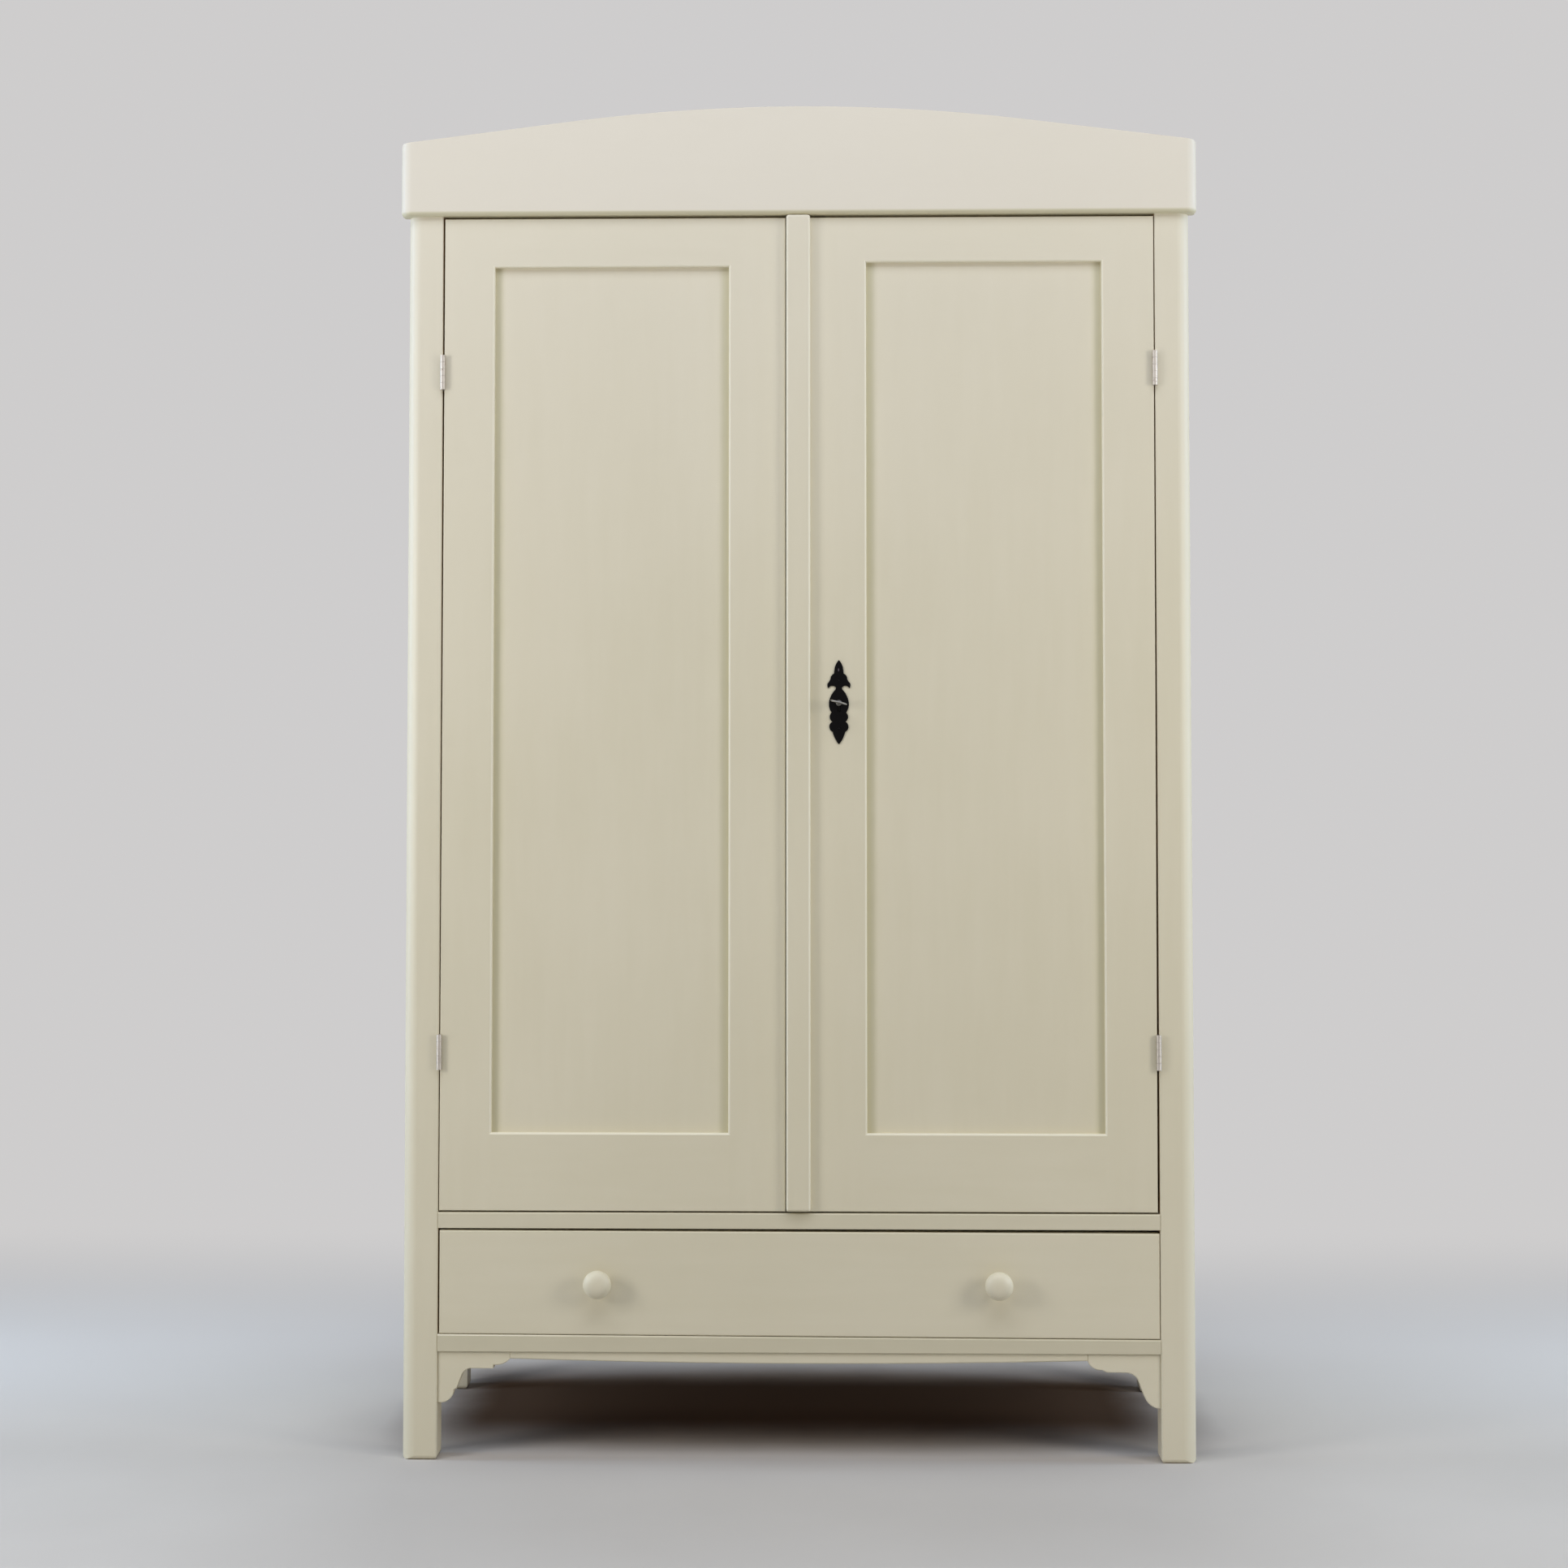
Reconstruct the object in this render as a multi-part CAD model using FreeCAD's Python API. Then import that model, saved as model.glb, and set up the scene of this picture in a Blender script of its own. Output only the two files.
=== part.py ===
import FreeCAD, Part
import math
import os

# Two-door wardrobe cabinet with one drawer, in millimetres.
# +X is to the right seen from the front, the front faces -Y, +Z is up.
# The origin is on the floor, at the middle of the cabinet's box.

V = FreeCAD.Vector

# ---------------------------------------------------------------- carcase
post_span = 1200.0            # across the outer faces of the posts
body_depth = 525.0            # front of the front posts to back of the rear posts
post_height = 1894.0          # floor to the underside of the crown
front_post_width = 54.0
front_post_depth = 45.0
rear_post_width = 31.0
rear_post_depth = 42.0
post_corner_radius = 20.0     # outer front corner of the front posts
post_arris = 2.5              # softened edge beside the doors
foot_round = 7.0              # rounded lower edges of the feet
glue_gap = 0.1                # round every tenon, tongue and panel
tenon_length = 28.0
tenon_thickness = 10.0
tenon_shoulder = 6.0          # wood left above and below a tenon
tenon_wall = 3.0              # wood left between two tenons that meet in a post

leg_clearance = 162.0         # floor to the underside of the bottom rail
bottom_rail_left = 26.2       # the rail's top edge runs down a little to the right
bottom_rail_right = 21.8
rail_depth = 60.0
rail_round = 2.5
drawer_opening = 159.3        # above the left end of the bottom rail
mid_rail_height = 24.0

side_rail_thickness = 22.0
side_rail_setback = 2.0       # side rails behind the posts' outer faces
side_top_rail_height = 70.0
side_bottom_rail_height = 60.0
side_panel_thickness = 8.0
side_panel_recess = 8.0
panel_groove = 7.0            # depth of the grooves that hold the panels
panel_tongue = 6.0            # how far a panel reaches into its groove

top_rail_height = 60.0
top_rail_thickness = 22.0
rear_rail_height = 60.0
rear_rail_thickness = 22.0
back_board_thickness = 10.0
back_board_count = 8
back_board_rebate = 10.0      # how far the boards lap onto the rear posts
back_board_tongue = 4.0
back_board_bevel = 2.0
floor_thickness = 18.0
roof_thickness = 16.0
stop_gap = 0.8                # door back to the rail and floor edge that stop it

# ------------------------------------------------------------------ crown
crown_overhang = 11.0         # past the posts at the front and the sides
crown_rise = 166.0            # bottom edge to the top of the arch
crown_arc_half = 350.0        # half the length of the arched middle
crown_shoulder_fall = 0.125   # slope of the straight shoulders
crown_board_thickness = 26.0
crown_end_radius = 17.0
crown_lower_round = 6.0
crown_upper_round = 3.0
crown_tip_round = 6.0
crown_return_thickness = 24.0
crown_return_drop = 5.0       # returns below the crown board's ends
crown_block_size = 28.0
crown_block_height = 80.0
crown_block_count = 5

# ------------------------------------------------------- apron and brackets
apron_setback = 4.0
apron_thickness = 16.0
apron_end_depth = 11.0
apron_sag = 6.0               # its lower edge hangs lower in the middle
bracket_width = 110.0
left_bracket_height = 76.5
right_bracket_height = 81.5
bracket_thickness = 18.0

# ------------------------------------------------------------------ doors
door_thickness = 22.0
door_setback = 0.5            # door face behind the posts' faces
door_gap_top = 3.5
door_gap_bottom = 2.5
hinge_axis_gap = 1.0          # post face to the plane of the hinge pins
left_gap_top = 1.8            # hinge pin plane to the door's edge
left_gap_bottom = 0.4
right_gap_top = 0.4
right_gap_bottom = 2.4
meeting_x = -17.6             # edge of the right leaf
meeting_gap = 1.4
left_hinge_stile = 79.1       # plane of the hinge pins to the panel opening
left_lock_stile = 86.8        # free edge to the panel opening
right_hinge_stile = 80.2
right_lock_stile = 122.4
panel_sill = 117.5            # height of both lower door rails
left_top_rail = 75.5
right_top_rail = 69.5
door_edge_round = 1.5
panel_edge_round = 3.0
panel_recess = 9.0
panel_thickness = 7.0
door_tenon = 30.0
strip_width = 36.6
strip_thickness = 12.0
strip_top_gap = 1.1           # below the crown
strip_bottom_rise = 1.2       # above the door's lower edge
strip_round = 4.0
strip_corner = 4.5

# ----------------------------------------------------------------- hinges
hinge_length = 53.0
left_hinge_insets = (239.5, 238.5)     # door's bottom and top edge to the hinges' middles
right_hinge_insets = (240.5, 235.1)
hinge_barrel_radius = 4.0
hinge_pin_radius = 1.95
hinge_bore_radius = 2.0
hinge_pin_proud = 4.4         # pin axis in front of the posts' faces
hinge_leaf_thickness = 2.0
hinge_leaf_gap = 0.15         # each leaf to the plane of the pin
hinge_leaf_depth = 20.0
hinge_knuckles = 5
knuckle_gap = 0.3
hinge_screw_spacing = 17.0
hinge_screw = (3.4, 1.7, 1.5, 16.0)    # head radius, head height, shank radius, length

# ---------------------------------------------------------- lock and bolts
key_inset = 80.1              # right leaf's free edge to the key
key_rise = 769.8              # door's bottom edge to the key
key_tilt = 15.0               # the bow's right end hangs this many degrees low
key_turn = 285.0              # rest to locked
key_shank_radius = 3.0
key_hole_clearance = 0.6
key_pivot_clearance = 0.08
key_bit_reach = 12.5
key_bit_thickness = 2.6
key_bit_depth = 5.0
key_bow_width = 26.0
key_bow_length = 20.0
key_bow_thickness = 3.2
key_bow_eye = (13.0, 10.0)
key_reach = 34.0              # front of the door to the bow's end
key_collar_radius = 4.6
key_collar_length = 2.5
escutcheon_thickness = 2.0
nail_radius = 1.8
nail_height = 1.4
nail_length = 10.0            # below its head
nail_drops = (-39.5, 33.5)    # below and above the key
lock_case_width = 104.0
lock_case_height = 64.0
lock_case_depth = 14.0
lock_case_wall = 1.6
lock_case_setback = 1.0       # from the leaf's edge
lock_post_radius = 4.0        # screw posts in the case's corners
lock_post_inset = 4.8
lock_screw = (2.6, 1.5, 1.2, 23.0)
bolt_travel = 12.0
bolt_height = 11.0
bolt_thickness = 5.0
bolt_length = 82.0
bolt_clearance = 0.25
bolt_notch_depth = 4.5
bolt_notch_width = 24.0
bit_to_bolt = 9.0             # key axis to the bolt's lower edge
key_collar_gap = 0.8          # collar to the key plate
key_eye_wall = 0.6            # least metal behind the bow's eye
keeper_gap = 1.6              # leaf edge to the keeper
keeper_length = 22.0
keeper_wall = 2.0
keeper_flange = 9.0           # above and below the staple
keeper_screw = (2.2, 0.8, 1.0, 9.0)
flush_bolt_inset = 43.0       # left leaf's free edge to the bolts
flush_bolt_radius = 3.5
flush_bolt_length = 110.0
flush_bolt_travel = 12.0
flush_bolt_clearance = 0.3
flush_bolt_stand_off = 0.6
flush_bolt_tip_gap = 2.0
guide_width = 26.0
guide_length = 86.0
guide_plate = 2.0
guide_loop_width = 11.0
guide_loop_wall = 1.6
guide_screw_inset = 3.2
guide_screw = (2.2, 1.2, 1.0, 12.0)
bolt_knob_radius = 4.5
bolt_knob_length = 9.0

# ----------------------------------------------------------------- drawer
drawer_gap_left = 2.4
drawer_gap_right = 1.0
drawer_gap_bottom = 0.9
drawer_top_gap_left = 3.2
drawer_top_gap_right = 5.2
drawer_setback = 0.5
drawer_front_thickness = 22.0
drawer_front_round = 2.2
drawer_side_thickness = 14.0
drawer_side_gap = 4.0         # drawer side to the posts' inner faces
drawer_runner_gap = 0.3
drawer_side_height = 146.0
drawer_rear_gap = 28.0        # drawer back to the rear rail
drawer_back_thickness = 12.0
drawer_bottom_thickness = 6.0
drawer_bottom_lift = 12.0
drawer_groove = 5.0
drawer_lap = 13.0             # how far the dovetails enter the front
dovetail_count = 4
dovetail_flare = 3.0
runner_width = 61.0
guide_height = 20.0
guide_gap = 1.2               # drawer side to its guide
knob_x = 302.0
knob_drop = 80.5              # below the rail over the drawer
knob_radius = 21.5
knob_length = 36.0
knob_neck_radius = 8.5
knob_foot_radius = 12.0
knob_foot_length = 3.0
knob_neck_end = 11.0
knob_rim_length = 21.0        # drawer front to the widest part
knob_cap = (1.6, 5.0)         # the cap's start: in from the rim, and below it
knob_brow = (3.0, 5.5)        # the dome's edge: in from the rim, and above it
knob_bore_radius = 2.1
knob_screw_radius = 2.0
knob_screw_head = (4.2, 2.2)  # radius and height

# ---------------------------------------------------------------- shelves
rack_depth = 24.0
rack_tooth = 12.0
rack_width = 20.0
rack_pitch = 32.0
rack_ledge = 14.0             # notch height at its root
rack_mouth = 26.0             # notch height at its mouth
rack_foot = 40.0
rack_top_gap = 16.0
bearer_height = 22.0
bearer_end = 13.4
bearer_gap = 0.3
shelf_teeth = (9, 20, 31)     # rack notches that carry a shelf
shelf_thickness = 18.0
shelf_gap = 2.0
shelf_setback = 3.0           # shelf front behind the posts' backs

# ------------------------------------------------------- shared positions
front_reach = knob_length - drawer_setback
front = (front_reach - body_depth) / 2
back = front + body_depth
half_span = post_span / 2
post_inner = half_span - front_post_width
front_post_back = front + front_post_depth
rear_post_front = back - rear_post_depth
rear_post_inner = half_span - rear_post_width
side_outer = half_span - side_rail_setback
side_inner = side_outer - side_rail_thickness
side_tenon_inner = (side_inner + side_outer - tenon_thickness) / 2
front_tenon = min(tenon_length, side_tenon_inner - post_inner - tenon_wall)
rear_tenon = min(tenon_length, side_tenon_inner - rear_post_inner - tenon_wall)
rail_back = front + rail_depth
mid_rail_bottom = leg_clearance + bottom_rail_left + drawer_opening
mid_rail_top = mid_rail_bottom + mid_rail_height
floor_top = mid_rail_top + floor_thickness
top_rail_bottom = post_height - top_rail_height
door_face = front + door_setback
door_back = door_face + door_thickness
door_bottom = mid_rail_top + door_gap_bottom
door_top = post_height - door_gap_top
back_board_front = back - back_board_thickness
rear_rail_front = back_board_front - rear_rail_thickness
hinge_x = post_inner - hinge_axis_gap
hinge_y = front - hinge_pin_proud
panel_front = door_face + panel_recess
left_free_x = meeting_x - meeting_gap
left_panel_x = (-hinge_x + left_hinge_stile, left_free_x - left_lock_stile)
right_panel_x = (meeting_x + right_lock_stile, hinge_x - right_hinge_stile)
hinge_z_left = (door_bottom + left_hinge_insets[0], door_top - left_hinge_insets[1])
hinge_z_right = (door_bottom + right_hinge_insets[0], door_top - right_hinge_insets[1])
key_x = meeting_x + key_inset
key_z = door_bottom + key_rise
flush_bolt_x = left_free_x - flush_bolt_inset
drawer_length = rear_rail_front - drawer_rear_gap - front
knob_z = mid_rail_bottom - knob_drop


def box(x0, x1, y0, y1, z0, z1):
    return Part.makeBox(x1 - x0, y1 - y0, z1 - z0, V(x0, y0, z0))


def grown(shape_box, gap):
    b = shape_box.BoundBox
    return box(b.XMin - gap, b.XMax + gap, b.YMin - gap, b.YMax + gap, b.ZMin - gap, b.ZMax + gap)


def polygon(points):
    return Part.makePolygon(points + [points[0]])


def plate_xz(points, y0, y1):
    """Straight-sided outline of (x, z) points, as thick as y0 to y1."""
    face = Part.Face(polygon([V(x, y0, z) for x, z in points]))
    return face.extrude(V(0, y1 - y0, 0))


def edges_at(shape, **where):
    """Edges whose two ends both lie at the given x, y or z."""
    found = []
    for edge in shape.Edges:
        ends = edge.Vertexes
        if all(abs(getattr(p, axis.upper()) - at) < 1e-4 for p in ends for axis, at in where.items()):
            found.append(edge)
    return found


def rounded(shape, radius, **where):
    return shape.makeFillet(radius, edges_at(shape, **where))


def lathe(profile, place, axis):
    """Solid of revolution from (radius, distance) points, along axis from place."""
    face = Part.Face(polygon([V(r, 0, d) for r, d in profile]))
    solid = face.revolve(V(0, 0, 0), V(0, 0, 1), 360)
    turn = FreeCAD.Rotation(V(0, 0, 1), axis)
    solid.Placement = FreeCAD.Placement(place, turn)
    return solid


def mirrored(shape):
    return shape.mirror(V(0, 0, 0), V(1, 0, 0))


def group(solids):
    return Part.makeCompound(solids)


def cut_all(shape, tools):
    return shape.cut(tools) if tools else shape


def tenon_x(x_from, length, y0, y1, z0, z1):
    """Tenon from x_from, its length signed, centred in the rail's end."""
    mid = (y0 + y1) / 2
    x0, x1 = sorted((x_from, x_from + length))
    half = tenon_thickness / 2
    return box(x0, x1, mid - half, mid + half, z0 + tenon_shoulder, z1 - tenon_shoulder)


def tenon_y(y_from, length, x0, x1, z0, z1):
    mid = (x0 + x1) / 2
    y0, y1 = sorted((y_from, y_from + length))
    half = tenon_thickness / 2
    return box(mid - half, mid + half, y0, y1, z0 + tenon_shoulder, z1 - tenon_shoulder)


def screw(place, axis, head_radius, head_height, shank_radius, shank_length):
    """Countersunk wood screw with a slotted head, flush at place, pointing along axis."""
    profile = [(0, 0), (head_radius, 0), (shank_radius, head_height),
               (shank_radius, shank_length - head_height), (0, shank_length)]
    solid = lathe(profile, place, axis)
    slot_half = head_radius / 8
    slot_depth = head_height / 2
    slot = box(-slot_half, slot_half, -head_radius, head_radius, 0, slot_depth)
    slot.Placement = FreeCAD.Placement(place, FreeCAD.Rotation(V(0, 0, 1), axis))
    return solid.cut(slot)


def screw_hole(place, axis, head_radius, head_height, shank_radius, shank_length):
    gap = glue_gap / 2
    profile = [(0, 0), (head_radius + gap, 0), (shank_radius + gap, head_height),
               (shank_radius + gap, shank_length + gap), (0, shank_length + gap)]
    return lathe(profile, place, axis)


# --------------------------------------------------------------- rails
def rail_top(x):
    """Top edge of the bottom rail, which runs down to the right."""
    share = (x + post_inner) / (2 * post_inner)
    return leg_clearance + bottom_rail_left + (bottom_rail_right - bottom_rail_left) * share


def front_rails():
    rails = {}
    tenons = []
    left_top, right_top = rail_top(-post_inner), rail_top(post_inner)
    bottom = plate_xz([(-post_inner, leg_clearance), (post_inner, leg_clearance),
                       (post_inner, right_top), (-post_inner, left_top)], front, rail_back)
    upper_front = [e for e in edges_at(bottom, y=front) if min(v.Z for v in e.Vertexes) > leg_clearance]
    bottom = bottom.makeFillet(rail_round, upper_front)
    bottom = rounded(bottom, rail_round / 2, y=front, z=leg_clearance)
    middle = box(-post_inner, post_inner, front, rail_back, mid_rail_bottom, mid_rail_top)
    middle = rounded(middle, rail_round / 2, y=front, z=mid_rail_bottom)
    middle = rounded(middle, rail_round, y=front, z=mid_rail_top)
    top_front = door_back + stop_gap
    top_back = top_front + top_rail_thickness
    top = box(-post_inner, post_inner, top_front, top_back, top_rail_bottom, post_height)
    for name, rail, z0, z1, y0, y1 in (
            ("bottom_rail", bottom, leg_clearance, right_top, front, front_post_back),
            ("mid_rail", middle, mid_rail_bottom, mid_rail_top, front, front_post_back),
            ("front_top_rail", top, top_rail_bottom, post_height, top_front, front_post_back)):
        ends = [tenon_x(side * post_inner, side * front_tenon, y0, y1, z0, z1) for side in (-1, 1)]
        rails[name] = rail.fuse(ends)
        tenons += ends
    return rails, tenons


def side_rails():
    rails = {}
    tenons = []
    for name, z0, z1 in (("side_top_rails", post_height - side_top_rail_height, post_height),
                         ("side_bottom_rails", leg_clearance, leg_clearance + side_bottom_rail_height)):
        rail = box(side_inner, side_outer, front_post_back, rear_post_front, z0, z1)
        front_end = tenon_y(front_post_back, -tenon_length, side_inner, side_outer, z0, z1)
        rear_end = tenon_y(rear_post_front, tenon_length, side_inner, side_outer, z0, z1)
        whole = rail.fuse([front_end, rear_end]).cut(side_panel_space())
        rails[name] = group([mirrored(whole), whole])
        tenons += [front_end, rear_end]
    return rails, tenons


def side_panel(reach, gap):
    """Side panel, reaching this far into its grooves all round."""
    x1 = side_outer - side_panel_recess + gap
    x0 = side_outer - side_panel_recess - side_panel_thickness - gap
    z0 = leg_clearance + side_bottom_rail_height
    z1 = post_height - side_top_rail_height
    return box(x0, x1, front_post_back - reach, rear_post_front + reach, z0 - reach, z1 + reach)


def side_panel_space():
    return side_panel(panel_groove, glue_gap)


def foot_shape(x0, x1, y0, y1):
    """Upright with its lower edges rounded, as two crossed outlines."""
    seen_from_front = box(x0, x1, y0, y1, 0, post_height)
    for x in (x0, x1):
        seen_from_front = rounded(seen_from_front, foot_round, x=x, z=0)
    seen_from_side = box(x0, x1, y0, y1, 0, post_height)
    for y in (y0, y1):
        seen_from_side = rounded(seen_from_side, foot_round, y=y, z=0)
    return seen_from_front.common(seen_from_side)


def front_post(mortises, hinge_heights):
    post = box(post_inner, half_span, front, front_post_back, 0, post_height)
    post = rounded(post, post_corner_radius, x=half_span, y=front)
    post = rounded(post, post_arris, x=post_inner, y=front)
    post = post.common(foot_shape(post_inner, half_span, front, front_post_back))
    tools = [grown(t, glue_gap) for t in mortises]
    tools.append(side_panel_space())
    tools += [leaf_recess(hinge_x + hinge_leaf_gap, 1, z) for z in hinge_heights]
    tools += [screw_hole(*s) for s in hinge_screws(1, 1, hinge_heights)]
    return cut_all(post, tools)


def rear_post(mortises):
    post = box(rear_post_inner, half_span, rear_post_front, back, 0, post_height)
    post = post.common(foot_shape(rear_post_inner, half_span, rear_post_front, back))
    rebate = box(rear_post_inner - 1, rear_post_inner + back_board_rebate + glue_gap,
                 back_board_front - glue_gap, back + 1, leg_clearance - glue_gap, post_height + 1)
    tools = [grown(t, glue_gap) for t in mortises]
    tools += [side_panel_space(), rebate]
    return cut_all(post, tools)


def rear_rails():
    levels = (leg_clearance, mid_rail_top - rear_rail_height, post_height - rear_rail_height)
    rails = []
    tenons = []
    for z0 in levels:
        z1 = z0 + rear_rail_height
        rail = box(-rear_post_inner, rear_post_inner, rear_rail_front, back_board_front, z0, z1)
        ends = [tenon_x(side * rear_post_inner, side * rear_tenon,
                        rear_rail_front, back_board_front, z0, z1) for side in (-1, 1)]
        rails.append(rail.fuse(ends))
        tenons += ends
    return group(rails), tenons


def back_boards():
    """Tongued and grooved boards, bevelled along their outer edges."""
    reach = rear_post_inner + back_board_rebate
    width = 2 * reach / back_board_count
    tongue_y = (back_board_front + back) / 2
    tongue_half = back_board_thickness / 6
    boards = []
    for index in range(back_board_count):
        x0 = -reach + index * width
        x1 = x0 + width - glue_gap
        board = box(x0, x1, back_board_front, back, leg_clearance, post_height)
        for x in (x0, x1):
            board = board.makeChamfer(back_board_bevel, edges_at(board, x=x, y=back))
        if index < back_board_count - 1:
            board = board.fuse(box(x1, x1 + back_board_tongue, tongue_y - tongue_half,
                                   tongue_y + tongue_half, leg_clearance, post_height))
        if index:
            board = board.cut(box(x0 - 1, x0 + back_board_tongue, tongue_y - tongue_half - glue_gap,
                                  tongue_y + tongue_half + glue_gap, leg_clearance - 1, post_height + 1))
        boards.append(board)
    return group(boards)


def cabinet_floor():
    """Floor of the cupboard, let round the posts; its front edge stops the doors."""
    floor_front = door_back + stop_gap
    board = box(-side_inner, side_inner, floor_front, back_board_front, mid_rail_top, floor_top)
    for side in (-1, 1):
        x0, x1 = sorted((side * (post_inner - glue_gap), side * (half_span + 1)))
        board = board.cut(box(x0, x1, floor_front - 1, front_post_back + glue_gap,
                              mid_rail_top - 1, floor_top + 1))
        x0, x1 = sorted((side * (rear_post_inner - glue_gap), side * (half_span + 1)))
        board = board.cut(box(x0, x1, rear_post_front - glue_gap, back + 1,
                              mid_rail_top - 1, floor_top + 1))
    return board.cut(flush_bolt_socket(-1))


def drawer_bearings():
    """Runners under the drawer, guides beside it, and bearers above it."""
    runners = []
    bearers = []
    x0 = side_inner - runner_width
    drawer_side = post_inner - drawer_side_gap
    for side in (-1, 1):
        inner, outer = sorted((side * x0, side * side_inner))
        top = rail_top(side * drawer_side)
        runners.append(box(inner, outer, rail_back, rear_post_front, leg_clearance, top))
        g0, g1 = sorted((side * (drawer_side + guide_gap), side * side_inner))
        runners.append(box(g0, g1, rail_back, rear_post_front, top, top + guide_height))
        bearers.append(box(inner, outer, rail_back, rear_post_front, mid_rail_bottom, mid_rail_top))
    return group(runners), group(bearers)


# --------------------------------------------------------------- crown
def crown_half_width():
    return half_span + crown_overhang


def crown_return_inner():
    """Inner face of the right-hand return, whose outer face is flush with the posts."""
    return half_span - crown_return_thickness


def crown_end_height():
    """Height of the crown board's top edge at its ends, before rounding."""
    angle = math.atan(crown_shoulder_fall)
    radius = crown_arc_half / math.sin(angle)
    arc_drop = radius * (1 - math.cos(angle))
    shoulder = (crown_half_width() - crown_arc_half) * crown_shoulder_fall
    return post_height + crown_rise - arc_drop - shoulder


def crown_board():
    half = crown_half_width()
    apex = post_height + crown_rise
    angle = math.atan(crown_shoulder_fall)
    radius = crown_arc_half / math.sin(angle)
    arc_end = apex - radius * (1 - math.cos(angle))
    y0 = front - crown_overhang

    def at(x, z):
        return V(x, y0, z)

    shoulder_r = at(half, crown_end_height())
    shoulder_l = at(-half, crown_end_height())
    arc = Part.Arc(at(-crown_arc_half, arc_end), at(0, apex), at(crown_arc_half, arc_end)).toShape()
    outline = Part.Wire([
        Part.makeLine(at(-half, post_height), shoulder_l),
        Part.makeLine(shoulder_l, at(-crown_arc_half, arc_end)),
        arc,
        Part.makeLine(at(crown_arc_half, arc_end), shoulder_r),
        Part.makeLine(shoulder_r, at(half, post_height)),
        Part.makeLine(at(half, post_height), at(-half, post_height))])
    board = Part.Face(outline).extrude(V(0, crown_board_thickness, 0))
    tips = [e for e in board.Edges if all(abs(v.Z - crown_end_height()) < 1e-4 for v in e.Vertexes)]
    board = board.makeFillet(crown_tip_round, tips)
    plan = box(-half, half, y0, y0 + crown_board_thickness, post_height, apex + 1)
    for x in (-half, half):
        plan = rounded(plan, crown_end_radius, x=x, y=y0)
    board = board.common(plan)
    lower = [e for e in board.Edges
             if all(abs(v.Z - post_height) < 1e-4 for v in e.Vertexes)
             and min(v.Y for v in e.Vertexes) < y0 + crown_end_radius - 1e-4]
    return board.makeFillet(crown_lower_round, lower)


def crown_returns():
    y0 = front - crown_overhang + crown_board_thickness
    top = crown_end_height() - crown_return_drop - crown_tip_round
    board = box(crown_return_inner(), half_span, y0, back, post_height, top)
    board = rounded(board, crown_upper_round, x=half_span, z=top)
    return group([mirrored(board), board])


def roof_board():
    inner = crown_return_inner() - glue_gap
    y0 = front - crown_overhang + crown_board_thickness + glue_gap
    return box(-inner, inner, y0, back, post_height, post_height + roof_thickness)


def crown_blocks():
    """Glue blocks that hold the crown board to the roof board."""
    y0 = front - crown_overhang + crown_board_thickness
    z0 = post_height + roof_thickness
    reach = crown_return_inner() - crown_block_size
    step = 2 * reach / (crown_block_count - 1)
    blocks = []
    for index in range(crown_block_count):
        x = -reach + index * step
        shift = -crown_block_size * (1 - index / (crown_block_count - 1))
        points = [V(x + shift, y0, z0), V(x + shift + crown_block_size, y0, z0),
                  V(x + shift + crown_block_size, y0 + crown_block_size / 2, z0),
                  V(x + shift + crown_block_size / 2, y0 + crown_block_size, z0),
                  V(x + shift, y0 + crown_block_size, z0)]
        blocks.append(Part.Face(polygon(points)).extrude(V(0, 0, crown_block_height)))
    return group(blocks)


# ------------------------------------------------- apron and brackets
def apron_strip():
    y0 = front + apron_setback
    reach = post_inner - bracket_width
    end_z = leg_clearance - apron_end_depth
    low = V(0, y0, end_z - apron_sag)
    sag = Part.Arc(V(-reach, y0, end_z), low, V(reach, y0, end_z)).toShape()
    outline = Part.Wire([
        sag,
        Part.makeLine(V(reach, y0, end_z), V(reach, y0, leg_clearance)),
        Part.makeLine(V(reach, y0, leg_clearance), V(-reach, y0, leg_clearance)),
        Part.makeLine(V(-reach, y0, leg_clearance), V(-reach, y0, end_z))])
    strip = Part.Face(outline).extrude(V(0, apron_thickness, 0))
    lower = [e for e in edges_at(strip, y=y0) if max(v.Z for v in e.Vertexes) < leg_clearance - 1]
    return strip.makeFillet(post_arris, lower)


def bracket(height, lobe, cove, tip):
    """Fretted bracket under the left end of the bottom rail.

    lobe, cove and tip each hold three points of its lower edge, as shares of its size.
    """
    def at(right, down):
        return V(-post_inner + right * bracket_width, front + apron_setback, leg_clearance - down * height)

    def line(a, b):
        return Part.makeLine(at(*a), at(*b))

    def arc(a, mid, b):
        return Part.Arc(at(*a), at(*mid), at(*b)).toShape()

    lobe_mid, lobe_out, step = lobe
    cove_start, cove_mid, cove_end = cove
    flat_end, tip_start, tip_mid = tip
    tip_end = (1.0, apron_end_depth / height)
    outline = Part.Wire([
        line((0, 0), (0, 1)),
        arc((0, 1), lobe_mid, lobe_out),
        line(lobe_out, step),
        line(step, cove_start),
        arc(cove_start, cove_mid, cove_end),
        line(cove_end, flat_end),
        line(flat_end, tip_start),
        arc(tip_start, tip_mid, tip_end),
        line(tip_end, (1.0, 0)),
        line((1.0, 0), (0, 0))])
    return Part.Face(outline).extrude(V(0, bracket_thickness, 0))


def left_bracket():
    """Crisply sawn, with a step beside its lobe and one beside its tip."""
    return bracket(left_bracket_height,
                   lobe=((0.165, 0.945), (0.227, 0.750), (0.262, 0.735)),
                   cove=((0.334, 0.470), (0.374, 0.388), (0.445, 0.338)),
                   tip=((0.768, 0.338), (0.772, 0.264), (0.930, 0.225)))


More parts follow.
